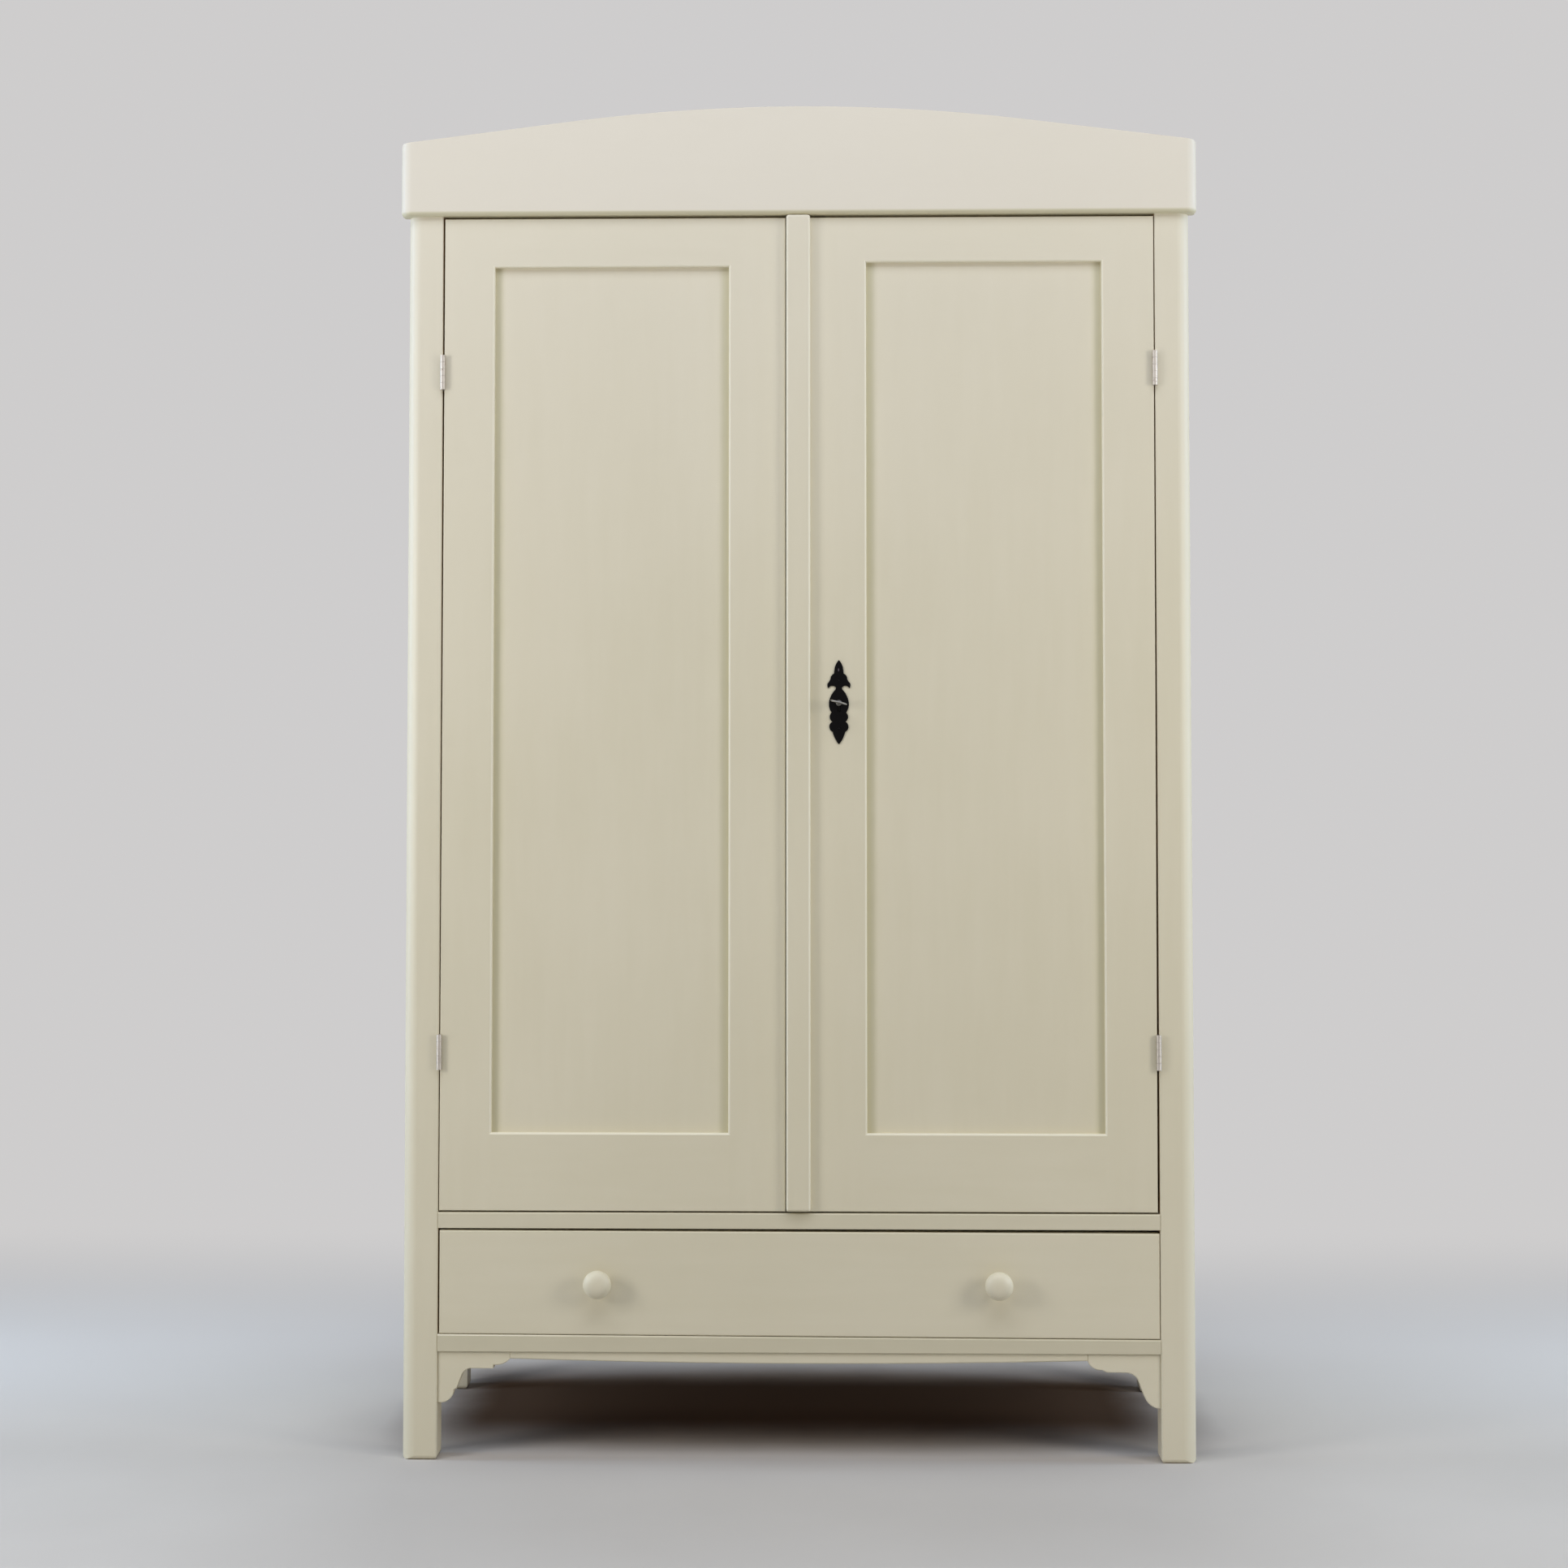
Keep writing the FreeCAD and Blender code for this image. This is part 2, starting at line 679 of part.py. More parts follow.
def right_bracket():
    """A little taller, with its steps worn to slants."""
    return mirrored(bracket(right_bracket_height,
                            lobe=((0.130, 0.945), (0.209, 0.823), (0.237, 0.747)),
                            cove=((0.313, 0.475), (0.372, 0.388), (0.475, 0.345)),
                            tip=((0.737, 0.341), (0.800, 0.298), (0.925, 0.258))))


# --------------------------------------------------------------- hinges
def leaf_recess(x_start, side, z):
    """Shallow housing for a leaf, from the pin's plane into the wood on this side."""
    x0, x1 = sorted((x_start, x_start + side * (hinge_leaf_thickness + glue_gap / 2)))
    half = hinge_length / 2 + glue_gap
    return box(x0, x1, front - 1, front + hinge_leaf_depth + glue_gap, z - half, z + half)


def hinge_screws(edge, side, heights):
    """Screw placements of the leaves at hinge edge +1 or -1, entering to this side."""
    surface = edge * hinge_x + side * hinge_leaf_gap
    y = front + hinge_leaf_depth * 0.6
    return [(V(surface, y, z + row * hinge_screw_spacing), V(side, 0, 0), *hinge_screw)
            for z in heights for row in (-1, 0, 1)]


def hinge_leaf(edge, side, z, first):
    """Leaf on this side of the pin at hinge edge +1 or -1; first is its lowest knuckle."""
    axis_x = edge * hinge_x
    x0, x1 = sorted((axis_x + side * hinge_leaf_gap,
                     axis_x + side * (hinge_leaf_gap + hinge_leaf_thickness)))
    z0 = z - hinge_length / 2
    pitch = hinge_length / hinge_knuckles
    plate_front = hinge_y + hinge_barrel_radius + knuckle_gap
    leaf = box(x0, x1, plate_front, front + hinge_leaf_depth, z0, z0 + hinge_length)
    for index in range(first, hinge_knuckles, 2):
        low = z0 + index * pitch + (knuckle_gap / 2 if index else 0)
        high = z0 + (index + 1) * pitch - (knuckle_gap / 2 if index < hinge_knuckles - 1 else 0)
        barrel = Part.makeCylinder(hinge_barrel_radius, high - low, V(axis_x, hinge_y, low))
        leaf = leaf.fuse([barrel, box(x0, x1, hinge_y, plate_front + knuckle_gap, low, high)])
    bore = Part.makeCylinder(hinge_bore_radius, hinge_length + 2, V(axis_x, hinge_y, z0 - 1))
    holes = [screw_hole(*s) for s in hinge_screws(edge, side, (z,))]
    return leaf.removeSplitter().cut([bore] + holes)


def hinge_pins():
    pins = []
    for edge, heights in ((-1, hinge_z_left), (1, hinge_z_right)):
        for z in heights:
            low = z - hinge_length / 2
            pins.append(Part.makeCylinder(hinge_pin_radius, hinge_length, V(edge * hinge_x, hinge_y, low)))
    return group(pins)


# ---------------------------------------------------------------- doors
def door(hinge_top_x, hinge_bottom_x, free_x, opening_x, opening_z):
    """Frame-and-panel leaf: five pieces keyed hinge, free, top, bottom and panel."""
    side = 1 if hinge_top_x > free_x else -1
    slab = plate_xz([(free_x, door_bottom), (hinge_bottom_x, door_bottom),
                     (hinge_top_x, door_top), (free_x, door_top)], door_face, door_back)
    slab = slab.makeFillet(door_edge_round, edges_at(slab, y=door_face))
    x0, x1 = opening_x
    z0, z1 = opening_z
    slab = slab.cut(box(x0, x1, door_face - 1, door_back + 1, z0, z1))
    rim = [e for e in edges_at(slab, y=door_face)
           if all(x0 - 0.01 < v.X < x1 + 0.01 and z0 - 0.01 < v.Z < z1 + 0.01 for v in e.Vertexes)]
    slab = slab.makeFillet(panel_edge_round, rim)
    g = panel_groove
    panel_back = panel_front + panel_thickness
    slab = slab.cut(box(x0 - g, x1 + g, panel_front - glue_gap, panel_back + glue_gap, z0 - g, z1 + g))
    reach = post_span
    left = slab.common(box(-reach, x0, door_face - 1, door_back + 1, 0, post_height))
    right = slab.common(box(x1, reach, door_face - 1, door_back + 1, 0, post_height))
    rails = {}
    tenons = []
    for name, low, high, t_low, t_high in (
            ("top", z1, post_height, z1 + g + 1, door_top - 2 * tenon_shoulder),
            ("bottom", 0, z0, door_bottom + 2 * tenon_shoulder, z0 - g - 1)):
        rail = slab.common(box(x0, x1, door_face - 1, door_back + 1, low, high))
        ends = [box(x0 - door_tenon, x0, panel_front, panel_back, t_low, t_high),
                box(x1, x1 + door_tenon, panel_front, panel_back, t_low, t_high)]
        rails[name] = rail.fuse(ends)
        tenons += ends
    mortises = [grown(t, glue_gap) for t in tenons]
    left = left.cut(mortises)
    right = right.cut(mortises)
    t = panel_tongue
    panel = box(x0 - t, x1 + t, panel_front, panel_back, z0 - t, z1 + t)
    hinge_stile, free_stile = (right, left) if side > 0 else (left, right)
    return {"hinge": hinge_stile, "free": free_stile, "top": rails["top"],
            "bottom": rails["bottom"], "panel": panel}


def meeting_strip():
    x0, x1 = meeting_x, meeting_x + strip_width
    z0, z1 = door_bottom + strip_bottom_rise, post_height - strip_top_gap
    strip = box(x0, x1, door_face - strip_thickness, door_face, z0, z1)
    for x in (x0, x1):
        for z in (z0, z1):
            strip = rounded(strip, strip_corner, x=x, z=z)
    front_edges = [e for e in strip.Edges
                   if all(abs(v.Y - (door_face - strip_thickness)) < 1e-4 for v in e.Vertexes)]
    return strip.makeFillet(strip_round, front_edges)


# ------------------------------------------------------------ lock parts
def escutcheon():
    """Forged key plate: a leaf and two hooked wings over a lens with scalloped sides below."""
    y0 = door_face - escutcheon_thickness

    def half_outline(side):
        def at(x, z):
            return V(key_x + side * x, y0, key_z + z)

        def arc(a, mid, b):
            return Part.Arc(at(*a), at(*mid), at(*b)).toShape()

        leaf_side, shoulder, wing, hook = (6.8, 51.0), (7.2, 45.0), (13.0, 36.5), (16.8, 30.6)
        hook_tip, neck_top, neck_foot = (16.0, 22.3), (5.4, 24.2), (5.6, 20.4)
        lens, waist, lobe_joint, tail = (14.9, 3.0), (11.2, -14.7), (10.0, -28.6), (9.6, -44.2)
        return [arc((0, 65.5), (4.4, 59.3), leaf_side),
                arc(leaf_side, (7.2, 48.0), shoulder),
                arc(shoulder, (11.2, 41.8), wing),
                arc(wing, (14.6, 33.2), hook),
                arc(hook, (17.7, 27.2), hook_tip),
                arc(hook_tip, (10.8, 26.0), neck_top),
                arc(neck_top, (4.8, 22.4), neck_foot),
                arc(neck_foot, (11.4, 12.4), lens),
                arc(lens, (15.0, -5.2), waist),
                arc(waist, (14.0, -22.0), lobe_joint),
                arc(lobe_joint, (14.6, -36.2), tail),
                arc(tail, (6.4, -53.4), (0, -63.0))]

    outline = Part.Wire(Part.__sortEdges__(half_outline(1) + half_outline(-1)))
    plate = Part.Face(outline).extrude(V(0, escutcheon_thickness, 0))
    plate = plate.cut(keyhole(y0 - 1, door_face + 1))
    return plate.cut([nail_hole(drop) for drop in nail_drops])


def keyhole(y0, y1):
    radius = key_shank_radius + key_hole_clearance
    half = key_bit_thickness / 2 + key_hole_clearance
    barrel = Part.makeCylinder(radius, y1 - y0, V(key_x, y0, key_z), V(0, 1, 0))
    slot = box(key_x - half, key_x + half, y0, y1, key_z - key_bit_reach - key_hole_clearance, key_z)
    return barrel.fuse(slot)


def nail_hole(drop):
    place = V(key_x, door_face - escutcheon_thickness - 1, key_z + drop)
    return Part.makeCylinder(nail_radius / 2 + glue_gap, nail_length + 2, place, V(0, 1, 0))


def escutcheon_nails():
    nails = []
    for drop in nail_drops:
        place = V(key_x, door_face - escutcheon_thickness - nail_height, key_z + drop)
        r = nail_radius
        profile = [(0, 0), (r * 0.6, nail_height * 0.15), (r, nail_height * 0.6), (r, nail_height),
                   (r / 2, nail_height), (r / 2, nail_height + nail_length * 0.8),
                   (0, nail_height + nail_length)]
        nails.append(lathe(profile, place, V(0, 1, 0)))
    return group(nails)


def case_x():
    x0 = meeting_x + lock_case_setback
    return x0, x0 + lock_case_width


def bolt_z():
    z0 = key_z + bit_to_bolt
    return z0, z0 + bolt_height


def bolt_y():
    y0 = door_back + key_bit_depth / 2
    return y0, y0 + bolt_thickness


def lock_case():
    """Surface lock on the inside of the door, its open side against the wood."""
    x0, x1 = case_x()
    z0 = key_z - lock_case_height / 2
    z1 = z0 + lock_case_height
    w = lock_case_wall
    cover = door_back + lock_case_depth
    case = box(x0, x1, door_back, cover, z0, z1)
    case = case.makeFillet(w, edges_at(case, y=cover))
    case = case.cut(box(x0 + w, x1 - w, door_back - 1, cover - w, z0 + w, z1 - w))
    c = bolt_clearance
    by, bz = bolt_y(), bolt_z()
    slot = box(x0 - 1, x0 + w + 1, by[0] - c, by[1] + c, bz[0] - c, bz[1] + c)
    rest = box(x0 + w, x0 + w + 2 * w, door_back, cover - w, bz[0] - c - w, bz[0] - c)
    rear_rest = box(x1 - 4 * w, x1 - w, door_back, cover - w, bz[0] - c - w, bz[0] - c)
    pivot = Part.makeCylinder(key_shank_radius + key_pivot_clearance, w + 2,
                              V(key_x, cover - w - 1, key_z), V(0, 1, 0))
    posts = []
    for place, *_ in lock_screws():
        foot = V(place.x, door_back, place.z)
        posts.append(Part.makeCylinder(lock_post_radius, lock_case_depth - w / 2, foot, V(0, 1, 0)))
    case = case.fuse([rest, rear_rest] + posts).removeSplitter().cut([slot, pivot])
    return case.cut([screw_hole(*s) for s in lock_screws()])


def lock_screws():
    x0, x1 = case_x()
    low = key_z - lock_case_height / 2 + lock_post_inset
    high = key_z + lock_case_height / 2 - lock_post_inset
    cover = door_back + lock_case_depth
    return [(V(x, cover, z), V(0, -1, 0), *lock_screw)
            for x in (x0 + lock_post_inset, x1 - lock_post_inset) for z in (low, high)]


def lock_bolt():
    x0 = case_x()[0]
    y0, y1 = bolt_y()
    z0, z1 = bolt_z()
    bar = box(x0, x0 + bolt_length, y0, y1, z0, z1)
    bar = bar.makeChamfer(bolt_thickness / 5, edges_at(bar, x=x0, z=z1) + edges_at(bar, x=x0, z=z0))
    meet = key_x + bolt_travel * (90 + key_tilt) / key_turn
    half = bolt_notch_width / 2
    return bar.cut(box(meet - half, meet + half, y0 - 1, y1 + 1, z0 - 1, z0 + bolt_notch_depth))


def key():
    """Key turned to its rest position, the bow level but for a small tilt."""
    tip = door_back + lock_case_depth
    bow_end = door_face - key_reach
    bow_start = bow_end + key_bow_length
    r = key_shank_radius
    shank = Part.makeCylinder(r, tip - bow_start + r, V(0, bow_start - r, 0), V(0, 1, 0))
    collar_y = door_face - escutcheon_thickness - key_collar_length - key_collar_gap
    collar = Part.makeCylinder(key_collar_radius, key_collar_length, V(0, collar_y, 0), V(0, 1, 0))
    collar = collar.makeFillet(key_collar_length / 3, [e for e in collar.Edges if len(e.Vertexes) == 1])
    bow = ellipse_plate(key_bow_width / 2, key_bow_length / 2, bow_end + key_bow_length / 2)
    bow = bow.makeFillet(key_bow_thickness / 3, bow.Edges[:1] + bow.Edges[-1:])
    eye_y = bow_end + key_bow_length / 2 - r / 4
    eye = ellipse_plate(key_bow_eye[0] / 2, key_bow_eye[1] / 2, eye_y, 2 * key_bow_thickness)
    neck_y = max(bow_start - r, eye_y + key_bow_eye[1] / 2 + key_eye_wall)
    neck = Part.makeCylinder(r, collar_y - neck_y, V(0, neck_y, 0), V(0, 1, 0))
    half = key_bit_thickness / 2
    bit_y0 = bolt_y()[0] + (bolt_thickness - key_bit_depth) / 2
    bit = box(0, key_bit_reach, bit_y0, bit_y0 + key_bit_depth, -half, half)
    ward = box(key_bit_reach * 0.6, key_bit_reach * 0.75, bit_y0 - 1, bit_y0 + key_bit_depth * 0.45,
               -key_bit_thickness, key_bit_thickness)
    body = bow.cut(eye).fuse([neck, collar, shank_part(shank, neck_y)]).fuse(bit.cut(ward))
    body = body.removeSplitter()
    body.Placement = FreeCAD.Placement(V(key_x, 0, key_z), FreeCAD.Rotation(V(0, 1, 0), key_tilt))
    return body


def shank_part(shank, from_y):
    """The shank behind the bow's eye."""
    b = shank.BoundBox
    return shank.common(box(b.XMin - 1, b.XMax + 1, from_y, b.YMax + 1, b.ZMin - 1, b.ZMax + 1))


def ellipse_plate(half_x, half_y, centre_y, thickness=None):
    thickness = thickness or key_bow_thickness
    place = V(0, centre_y, -thickness / 2)
    major, minor = max(half_x, half_y), min(half_x, half_y)
    ellipse = Part.Ellipse(V(0, 0, 0), major, minor).toShape()
    if half_y > half_x:
        ellipse.rotate(V(0, 0, 0), V(0, 0, 1), 90)
    ellipse.translate(place)
    return Part.Face(Part.Wire([ellipse])).extrude(V(0, 0, thickness))


def lock_keeper():
    """Box staple on the left door that the lock's bolt enters."""
    x1 = left_free_x - keeper_gap
    x0 = x1 - keeper_length
    c = 2 * bolt_clearance
    y0, y1 = bolt_y()
    z0, z1 = bolt_z()
    w = keeper_wall
    staple = box(x0, x1, door_back, y1 + c + w, z0 - c - w, z1 + c + w)
    staple = staple.cut(box(x0 + w, x1 + 1, y0 - c, y1 + c, z0 - c, z1 + c))
    flange = box(x0, x1, door_back, door_back + w / 2,
                 z0 - c - w - keeper_flange, z1 + c + w + keeper_flange)
    flange = flange.cut(box(x0 - 1, x1 + 1, door_back - 1, door_back + w, z0 - c, z1 + c))
    keeper = staple.fuse(flange).removeSplitter()
    return keeper.cut([screw_hole(*s) for s in keeper_screws()])


def keeper_screws():
    x = left_free_x - keeper_gap - keeper_length / 2
    z0, z1 = bolt_z()
    reach = 2 * bolt_clearance + keeper_wall + keeper_flange / 2
    y = door_back + keeper_wall / 2
    return [(V(x, y, z), V(0, -1, 0), *keeper_screw) for z in (z0 - reach, z1 + reach)]


# --------------------------------------------------------- flush bolts
def flush_bolt_y():
    return door_back + guide_plate + flush_bolt_stand_off + flush_bolt_radius


def flush_bolt_ends(end):
    """Lowest and highest z of the bolt at rest; end is +1 at the top of the door."""
    if end > 0:
        tip = top_rail_bottom - flush_bolt_tip_gap
        return tip - flush_bolt_length, tip
    tip = floor_top + flush_bolt_tip_gap
    return tip, tip + flush_bolt_length


def flush_bolt_socket(end):
    """Hole in the rail or floor that the thrown bolt enters."""
    radius = flush_bolt_radius + 2 * flush_bolt_clearance
    depth = flush_bolt_travel
    z0 = top_rail_bottom - 1 if end > 0 else floor_top - depth
    return Part.makeCylinder(radius, depth + 1, V(flush_bolt_x, flush_bolt_y(), z0))


def flush_bolt(end):
    z0, z1 = flush_bolt_ends(end)
    y = flush_bolt_y()
    bar = Part.makeCylinder(flush_bolt_radius, z1 - z0, V(flush_bolt_x, y, z0))
    bar = bar.makeChamfer(flush_bolt_radius / 4, [e for e in bar.Edges if len(e.Vertexes) == 1])
    middle = (z0 + z1) / 2
    knob_start = V(flush_bolt_x, y, middle)
    r = bolt_knob_radius
    reach = flush_bolt_radius + bolt_knob_length
    profile = [(0, 0), (r * 0.5, 0), (r * 0.5, reach - r), (r, reach - r * 0.6), (r, reach - r * 0.3),
               (r * 0.6, reach), (0, reach)]
    return bar.fuse(lathe(profile, knob_start, V(0, 1, 0)))


def guide_levels(end):
    z0, z1 = flush_bolt_ends(end)
    middle = (z0 + z1) / 2
    return middle - guide_length / 2, middle + guide_length / 2


def flush_bolt_guide(end):
    """Back plate with two loops that hold a flush bolt."""
    z0, z1 = guide_levels(end)
    half = guide_width / 2
    plate = box(flush_bolt_x - half, flush_bolt_x + half, door_back, door_back + guide_plate, z0, z1)
    plate = plate.makeChamfer(guide_plate / 4, edges_at(plate, y=door_back + guide_plate))
    y = flush_bolt_y()
    bore = flush_bolt_radius + flush_bolt_clearance
    loop_half = bore + guide_loop_wall
    loops = []
    for z in (z0 + guide_loop_width / 2, z1 - guide_loop_width * 1.5):
        foot = box(flush_bolt_x - loop_half, flush_bolt_x + loop_half, door_back, y, z, z + guide_loop_width)
        ring = Part.makeCylinder(loop_half, guide_loop_width, V(flush_bolt_x, y, z))
        loops += [foot, ring]
    whole = plate.fuse(loops).removeSplitter()
    passage = Part.makeCylinder(bore, z1 - z0 + 2, V(flush_bolt_x, y, z0 - 1))
    return whole.cut([passage] + [screw_hole(*s) for s in guide_screws(end)])


def guide_screws(end):
    z0, z1 = guide_levels(end)
    edge = guide_width / 2 - guide_screw_inset
    y = door_back + guide_plate
    return [(V(flush_bolt_x + side * edge, y, z), V(0, -1, 0), *guide_screw)
            for side in (-1, 1) for z in (z0 + guide_length * 0.3, z1 - guide_length * 0.3)]


# --------------------------------------------------------------- drawer
def drawer_front_outline(gap=0.0):
    x0 = -post_inner + drawer_gap_left - gap
    x1 = post_inner - drawer_gap_right + gap
    top = mid_rail_bottom
    return [(x0, rail_top(x0) + drawer_gap_bottom), (x1, rail_top(x1) + drawer_gap_bottom),
            (x1, top - drawer_top_gap_right), (x0, top - drawer_top_gap_left)]


def drawer_side_z(side):
    z0 = rail_top(side * (post_inner - drawer_side_gap)) + drawer_runner_gap
    return z0, z0 + drawer_side_height


def drawer_bottom_z():
    z0 = drawer_side_z(-1)[0] + drawer_bottom_lift
    return z0, z0 + drawer_bottom_thickness


def drawer_tails(side, gap):
    """Dovetails at the front of a drawer side, each flaring towards its end."""
    y1 = front + drawer_setback + drawer_front_thickness
    y0 = y1 - drawer_lap
    z0, z1 = drawer_side_z(side)
    outer = side * (post_inner - drawer_side_gap)
    x0, x1 = sorted((outer, outer - side * drawer_side_thickness))
    pitch = (z1 - z0) / dovetail_count
    tails = []
    for index in range(dovetail_count):
        low = z0 + index * pitch + 2 * dovetail_flare - gap
        high = z0 + (index + 1) * pitch - 2 * dovetail_flare + gap
        flare = dovetail_flare
        points = [V(x0 - gap, y1 + 1, low + flare), V(x0 - gap, y0 - gap, low - flare),
                  V(x0 - gap, y0 - gap, high + flare), V(x0 - gap, y1 + 1, high - flare)]
        tails.append(Part.Face(polygon(points)).extrude(V(x1 - x0 + 2 * gap, 0, 0)))
    return tails


def drawer_front():
    y0 = front + drawer_setback
    board = plate_xz(drawer_front_outline(), y0, y0 + drawer_front_thickness)
    board = board.makeFillet(drawer_front_round, edges_at(board, y=y0))
    tools = [tail for side in (-1, 1) for tail in drawer_tails(side, glue_gap)]
    z0, z1 = drawer_bottom_z()
    inner = post_inner - drawer_side_gap - drawer_side_thickness
    y1 = y0 + drawer_front_thickness
    groove = box(-inner, inner, y1 - drawer_groove - glue_gap, y1 + 1, z0 - glue_gap, z1 + glue_gap)
    screws = [knob_screw_hole(x) for x in (-knob_x, knob_x)]
    return board.cut(tools + [groove] + screws)


def drawer_side(side):
    y0 = front + drawer_setback + drawer_front_thickness
    z0, z1 = drawer_side_z(side)
    outer = side * (post_inner - drawer_side_gap)
    x0, x1 = sorted((outer, outer - side * drawer_side_thickness))
    board = box(x0, x1, y0, front + drawer_length, z0, z1)
    tails = [t.common(box(x0, x1, front, y0 + 0.5, z0, z1)) for t in drawer_tails(side, 0)]
    board = board.fuse(tails).removeSplitter()
    bottom = drawer_bottom_z()
    inner = outer - side * drawer_side_thickness
    g0, g1 = sorted((inner, inner + side * (drawer_groove + glue_gap)))
    groove = box(g0, g1, front, front + drawer_length + 1, bottom[0] - glue_gap, bottom[1] + glue_gap)
    return board.cut(groove)


def drawer_back():
    inner = post_inner - drawer_side_gap - drawer_side_thickness
    y1 = front + drawer_length
    z1 = min(drawer_side_z(-1)[1], drawer_side_z(1)[1]) - 2 * drawer_groove
    return box(-inner, inner, y1 - drawer_back_thickness, y1, drawer_bottom_z()[1], z1)


def drawer_bottom():
    inner = post_inner - drawer_side_gap - drawer_side_thickness
    y0 = front + drawer_setback + drawer_front_thickness
    z0, z1 = drawer_bottom_z()
    panel = box(-inner - drawer_groove, inner + drawer_groove, y0, front + drawer_length, z0, z1)
    return panel.fuse(box(-inner, inner, y0 - drawer_groove, y0, z0, z1)).removeSplitter()


def drawer_knob(x):
    """Turned mushroom knob with a short neck."""
    y0 = front + drawer_setback

    def at(radius, out):
        return V(x + radius, y0 - out, knob_z)

    neck_end = at(knob_neck_radius * 1.1, knob_neck_end)
    cap_start = at(knob_radius - knob_cap[0], knob_rim_length - knob_cap[1])
    dome_width = knob_radius - knob_brow[0]
    cap_end = at(dome_width, knob_rim_length + knob_brow[1])
    dome_height = knob_length - knob_rim_length - knob_brow[1]
    dome_radius = (dome_width ** 2 + dome_height ** 2) / (2 * dome_height)
    slope = math.asin(dome_width / dome_radius) / 2
    dome_mid = at(dome_radius * math.sin(slope), knob_length - dome_radius * (1 - math.cos(slope)))
    outline = Part.Wire([
        Part.makeLine(at(0, 0), at(knob_foot_radius, 0)),
        Part.makeLine(at(knob_foot_radius, 0), at(knob_foot_radius, knob_foot_length)),
        Part.Arc(at(knob_foot_radius, knob_foot_length), at(knob_neck_radius, knob_neck_end * 0.62),
                 neck_end).toShape(),
        Part.makeLine(neck_end, cap_start),
        Part.Arc(cap_start, at(knob_radius, knob_rim_length), cap_end).toShape(),
        Part.Arc(cap_end, dome_mid, at(0, knob_length)).toShape(),
        Part.makeLine(at(0, knob_length), at(0, 0))])
    knob = Part.Face(outline).revolve(V(x, y0, knob_z), V(0, 1, 0), 360)
    hole = Part.makeCylinder(knob_bore_radius, knob_neck_end, V(x, y0 - knob_neck_end, knob_z), V(0, 1, 0))
    return knob.cut(hole)


def knob_screw_hole(x):
    y0 = front + drawer_setback - 1
    return Part.makeCylinder(knob_bore_radius, drawer_front_thickness + 2, V(x, y0, knob_z), V(0, 1, 0))


def knob_screw(x):
    y1 = front + drawer_setback + drawer_front_thickness
    length = drawer_front_thickness + knob_neck_end - 1.0
    r, h = knob_screw_head
    profile = [(0, -h), (r * 0.7, -h * 0.9), (r, -h * 0.3), (r, 0), (knob_screw_radius, 0),
               (knob_screw_radius, length), (0, length)]
    return lathe(profile, V(x, y1, knob_z), V(0, -1, 0))


# --------------------------------------------------------------- shelves
def rack_teeth():
    room = top_rail_bottom - rack_top_gap - floor_top - rack_foot
    return int(room // rack_pitch)


def notch_z(index):
    return floor_top + rack_foot + index * rack_pitch


def rack_x():
    return side_inner - rack_width, side_inner


def rack(y_back, facing):
    """Saw-toothed rack; facing is +1 when its teeth look backwards."""
    y_tip = y_back + facing * rack_depth
    y_root = y_tip - facing * rack_tooth
    outline = [(y_back, floor_top), (y_tip, floor_top)]
    for index in range(rack_teeth()):
        z = notch_z(index)
        outline += [(y_tip, z), (y_root, z), (y_root, z + rack_ledge), (y_tip, z + rack_mouth)]
    top = notch_z(rack_teeth())
    outline += [(y_tip, top), (y_back, top)]
    x0, x1 = rack_x()
    face = Part.Face(polygon([V(x0, y, z) for y, z in outline]))
    return face.extrude(V(x1 - x0, 0, 0))


def shelf_racks():
    right = [rack(front_post_back, 1), rack(rear_post_front, -1)]
    return group([mirrored(r) for r in right] + right)


def shelf_bearers():
    """Loose bars whose tapered ends drop into the rack notches."""
    y_root0 = front_post_back + rack_depth - rack_tooth + bearer_gap
    y_root1 = rear_post_front - rack_depth + rack_tooth - bearer_gap
    y_tip0 = y_root0 + rack_tooth
    y_tip1 = y_root1 - rack_tooth
    x0, x1 = rack_x()
    bars = []
    for tooth in shelf_teeth:
        z = notch_z(tooth)
        outline = [(y_root0, z), (y_root1, z), (y_root1, z + bearer_end), (y_tip1, z + bearer_height),
                   (y_tip0, z + bearer_height), (y_root0, z + bearer_end)]
        bar = Part.Face(polygon([V(x0, y, h) for y, h in outline])).extrude(V(x1 - x0, 0, 0))
        bars += [mirrored(bar), bar]
    return group(bars)


def shelves():
    y0 = front_post_back + shelf_setback
    y1 = rear_rail_front - shelf_gap
    reach = side_inner - shelf_gap
    rack_inner = rack_x()[0]
    boards = []
    for tooth in shelf_teeth:
        z0 = notch_z(tooth) + bearer_height
        z1 = z0 + shelf_thickness
        board = box(-reach, reach, y0, y1, z0, z1)
        board = board.makeFillet(shelf_gap, edges_at(board, y=y0, z=z1) + edges_at(board, y=y0, z=z0))
        for side in (-1, 1):
            n0, n1 = sorted((side * (rack_inner - shelf_gap), side * half_span))
            board = board.cut(box(n0, n1, y0 - 1, front_post_back + rack_depth + shelf_gap, z0 - 1, z1 + 1))
            board = board.cut(box(n0, n1, rear_post_front - rack_depth - shelf_gap, y1 + 1, z0 - 1, z1 + 1))
        boards.append(board)
    return group(boards)


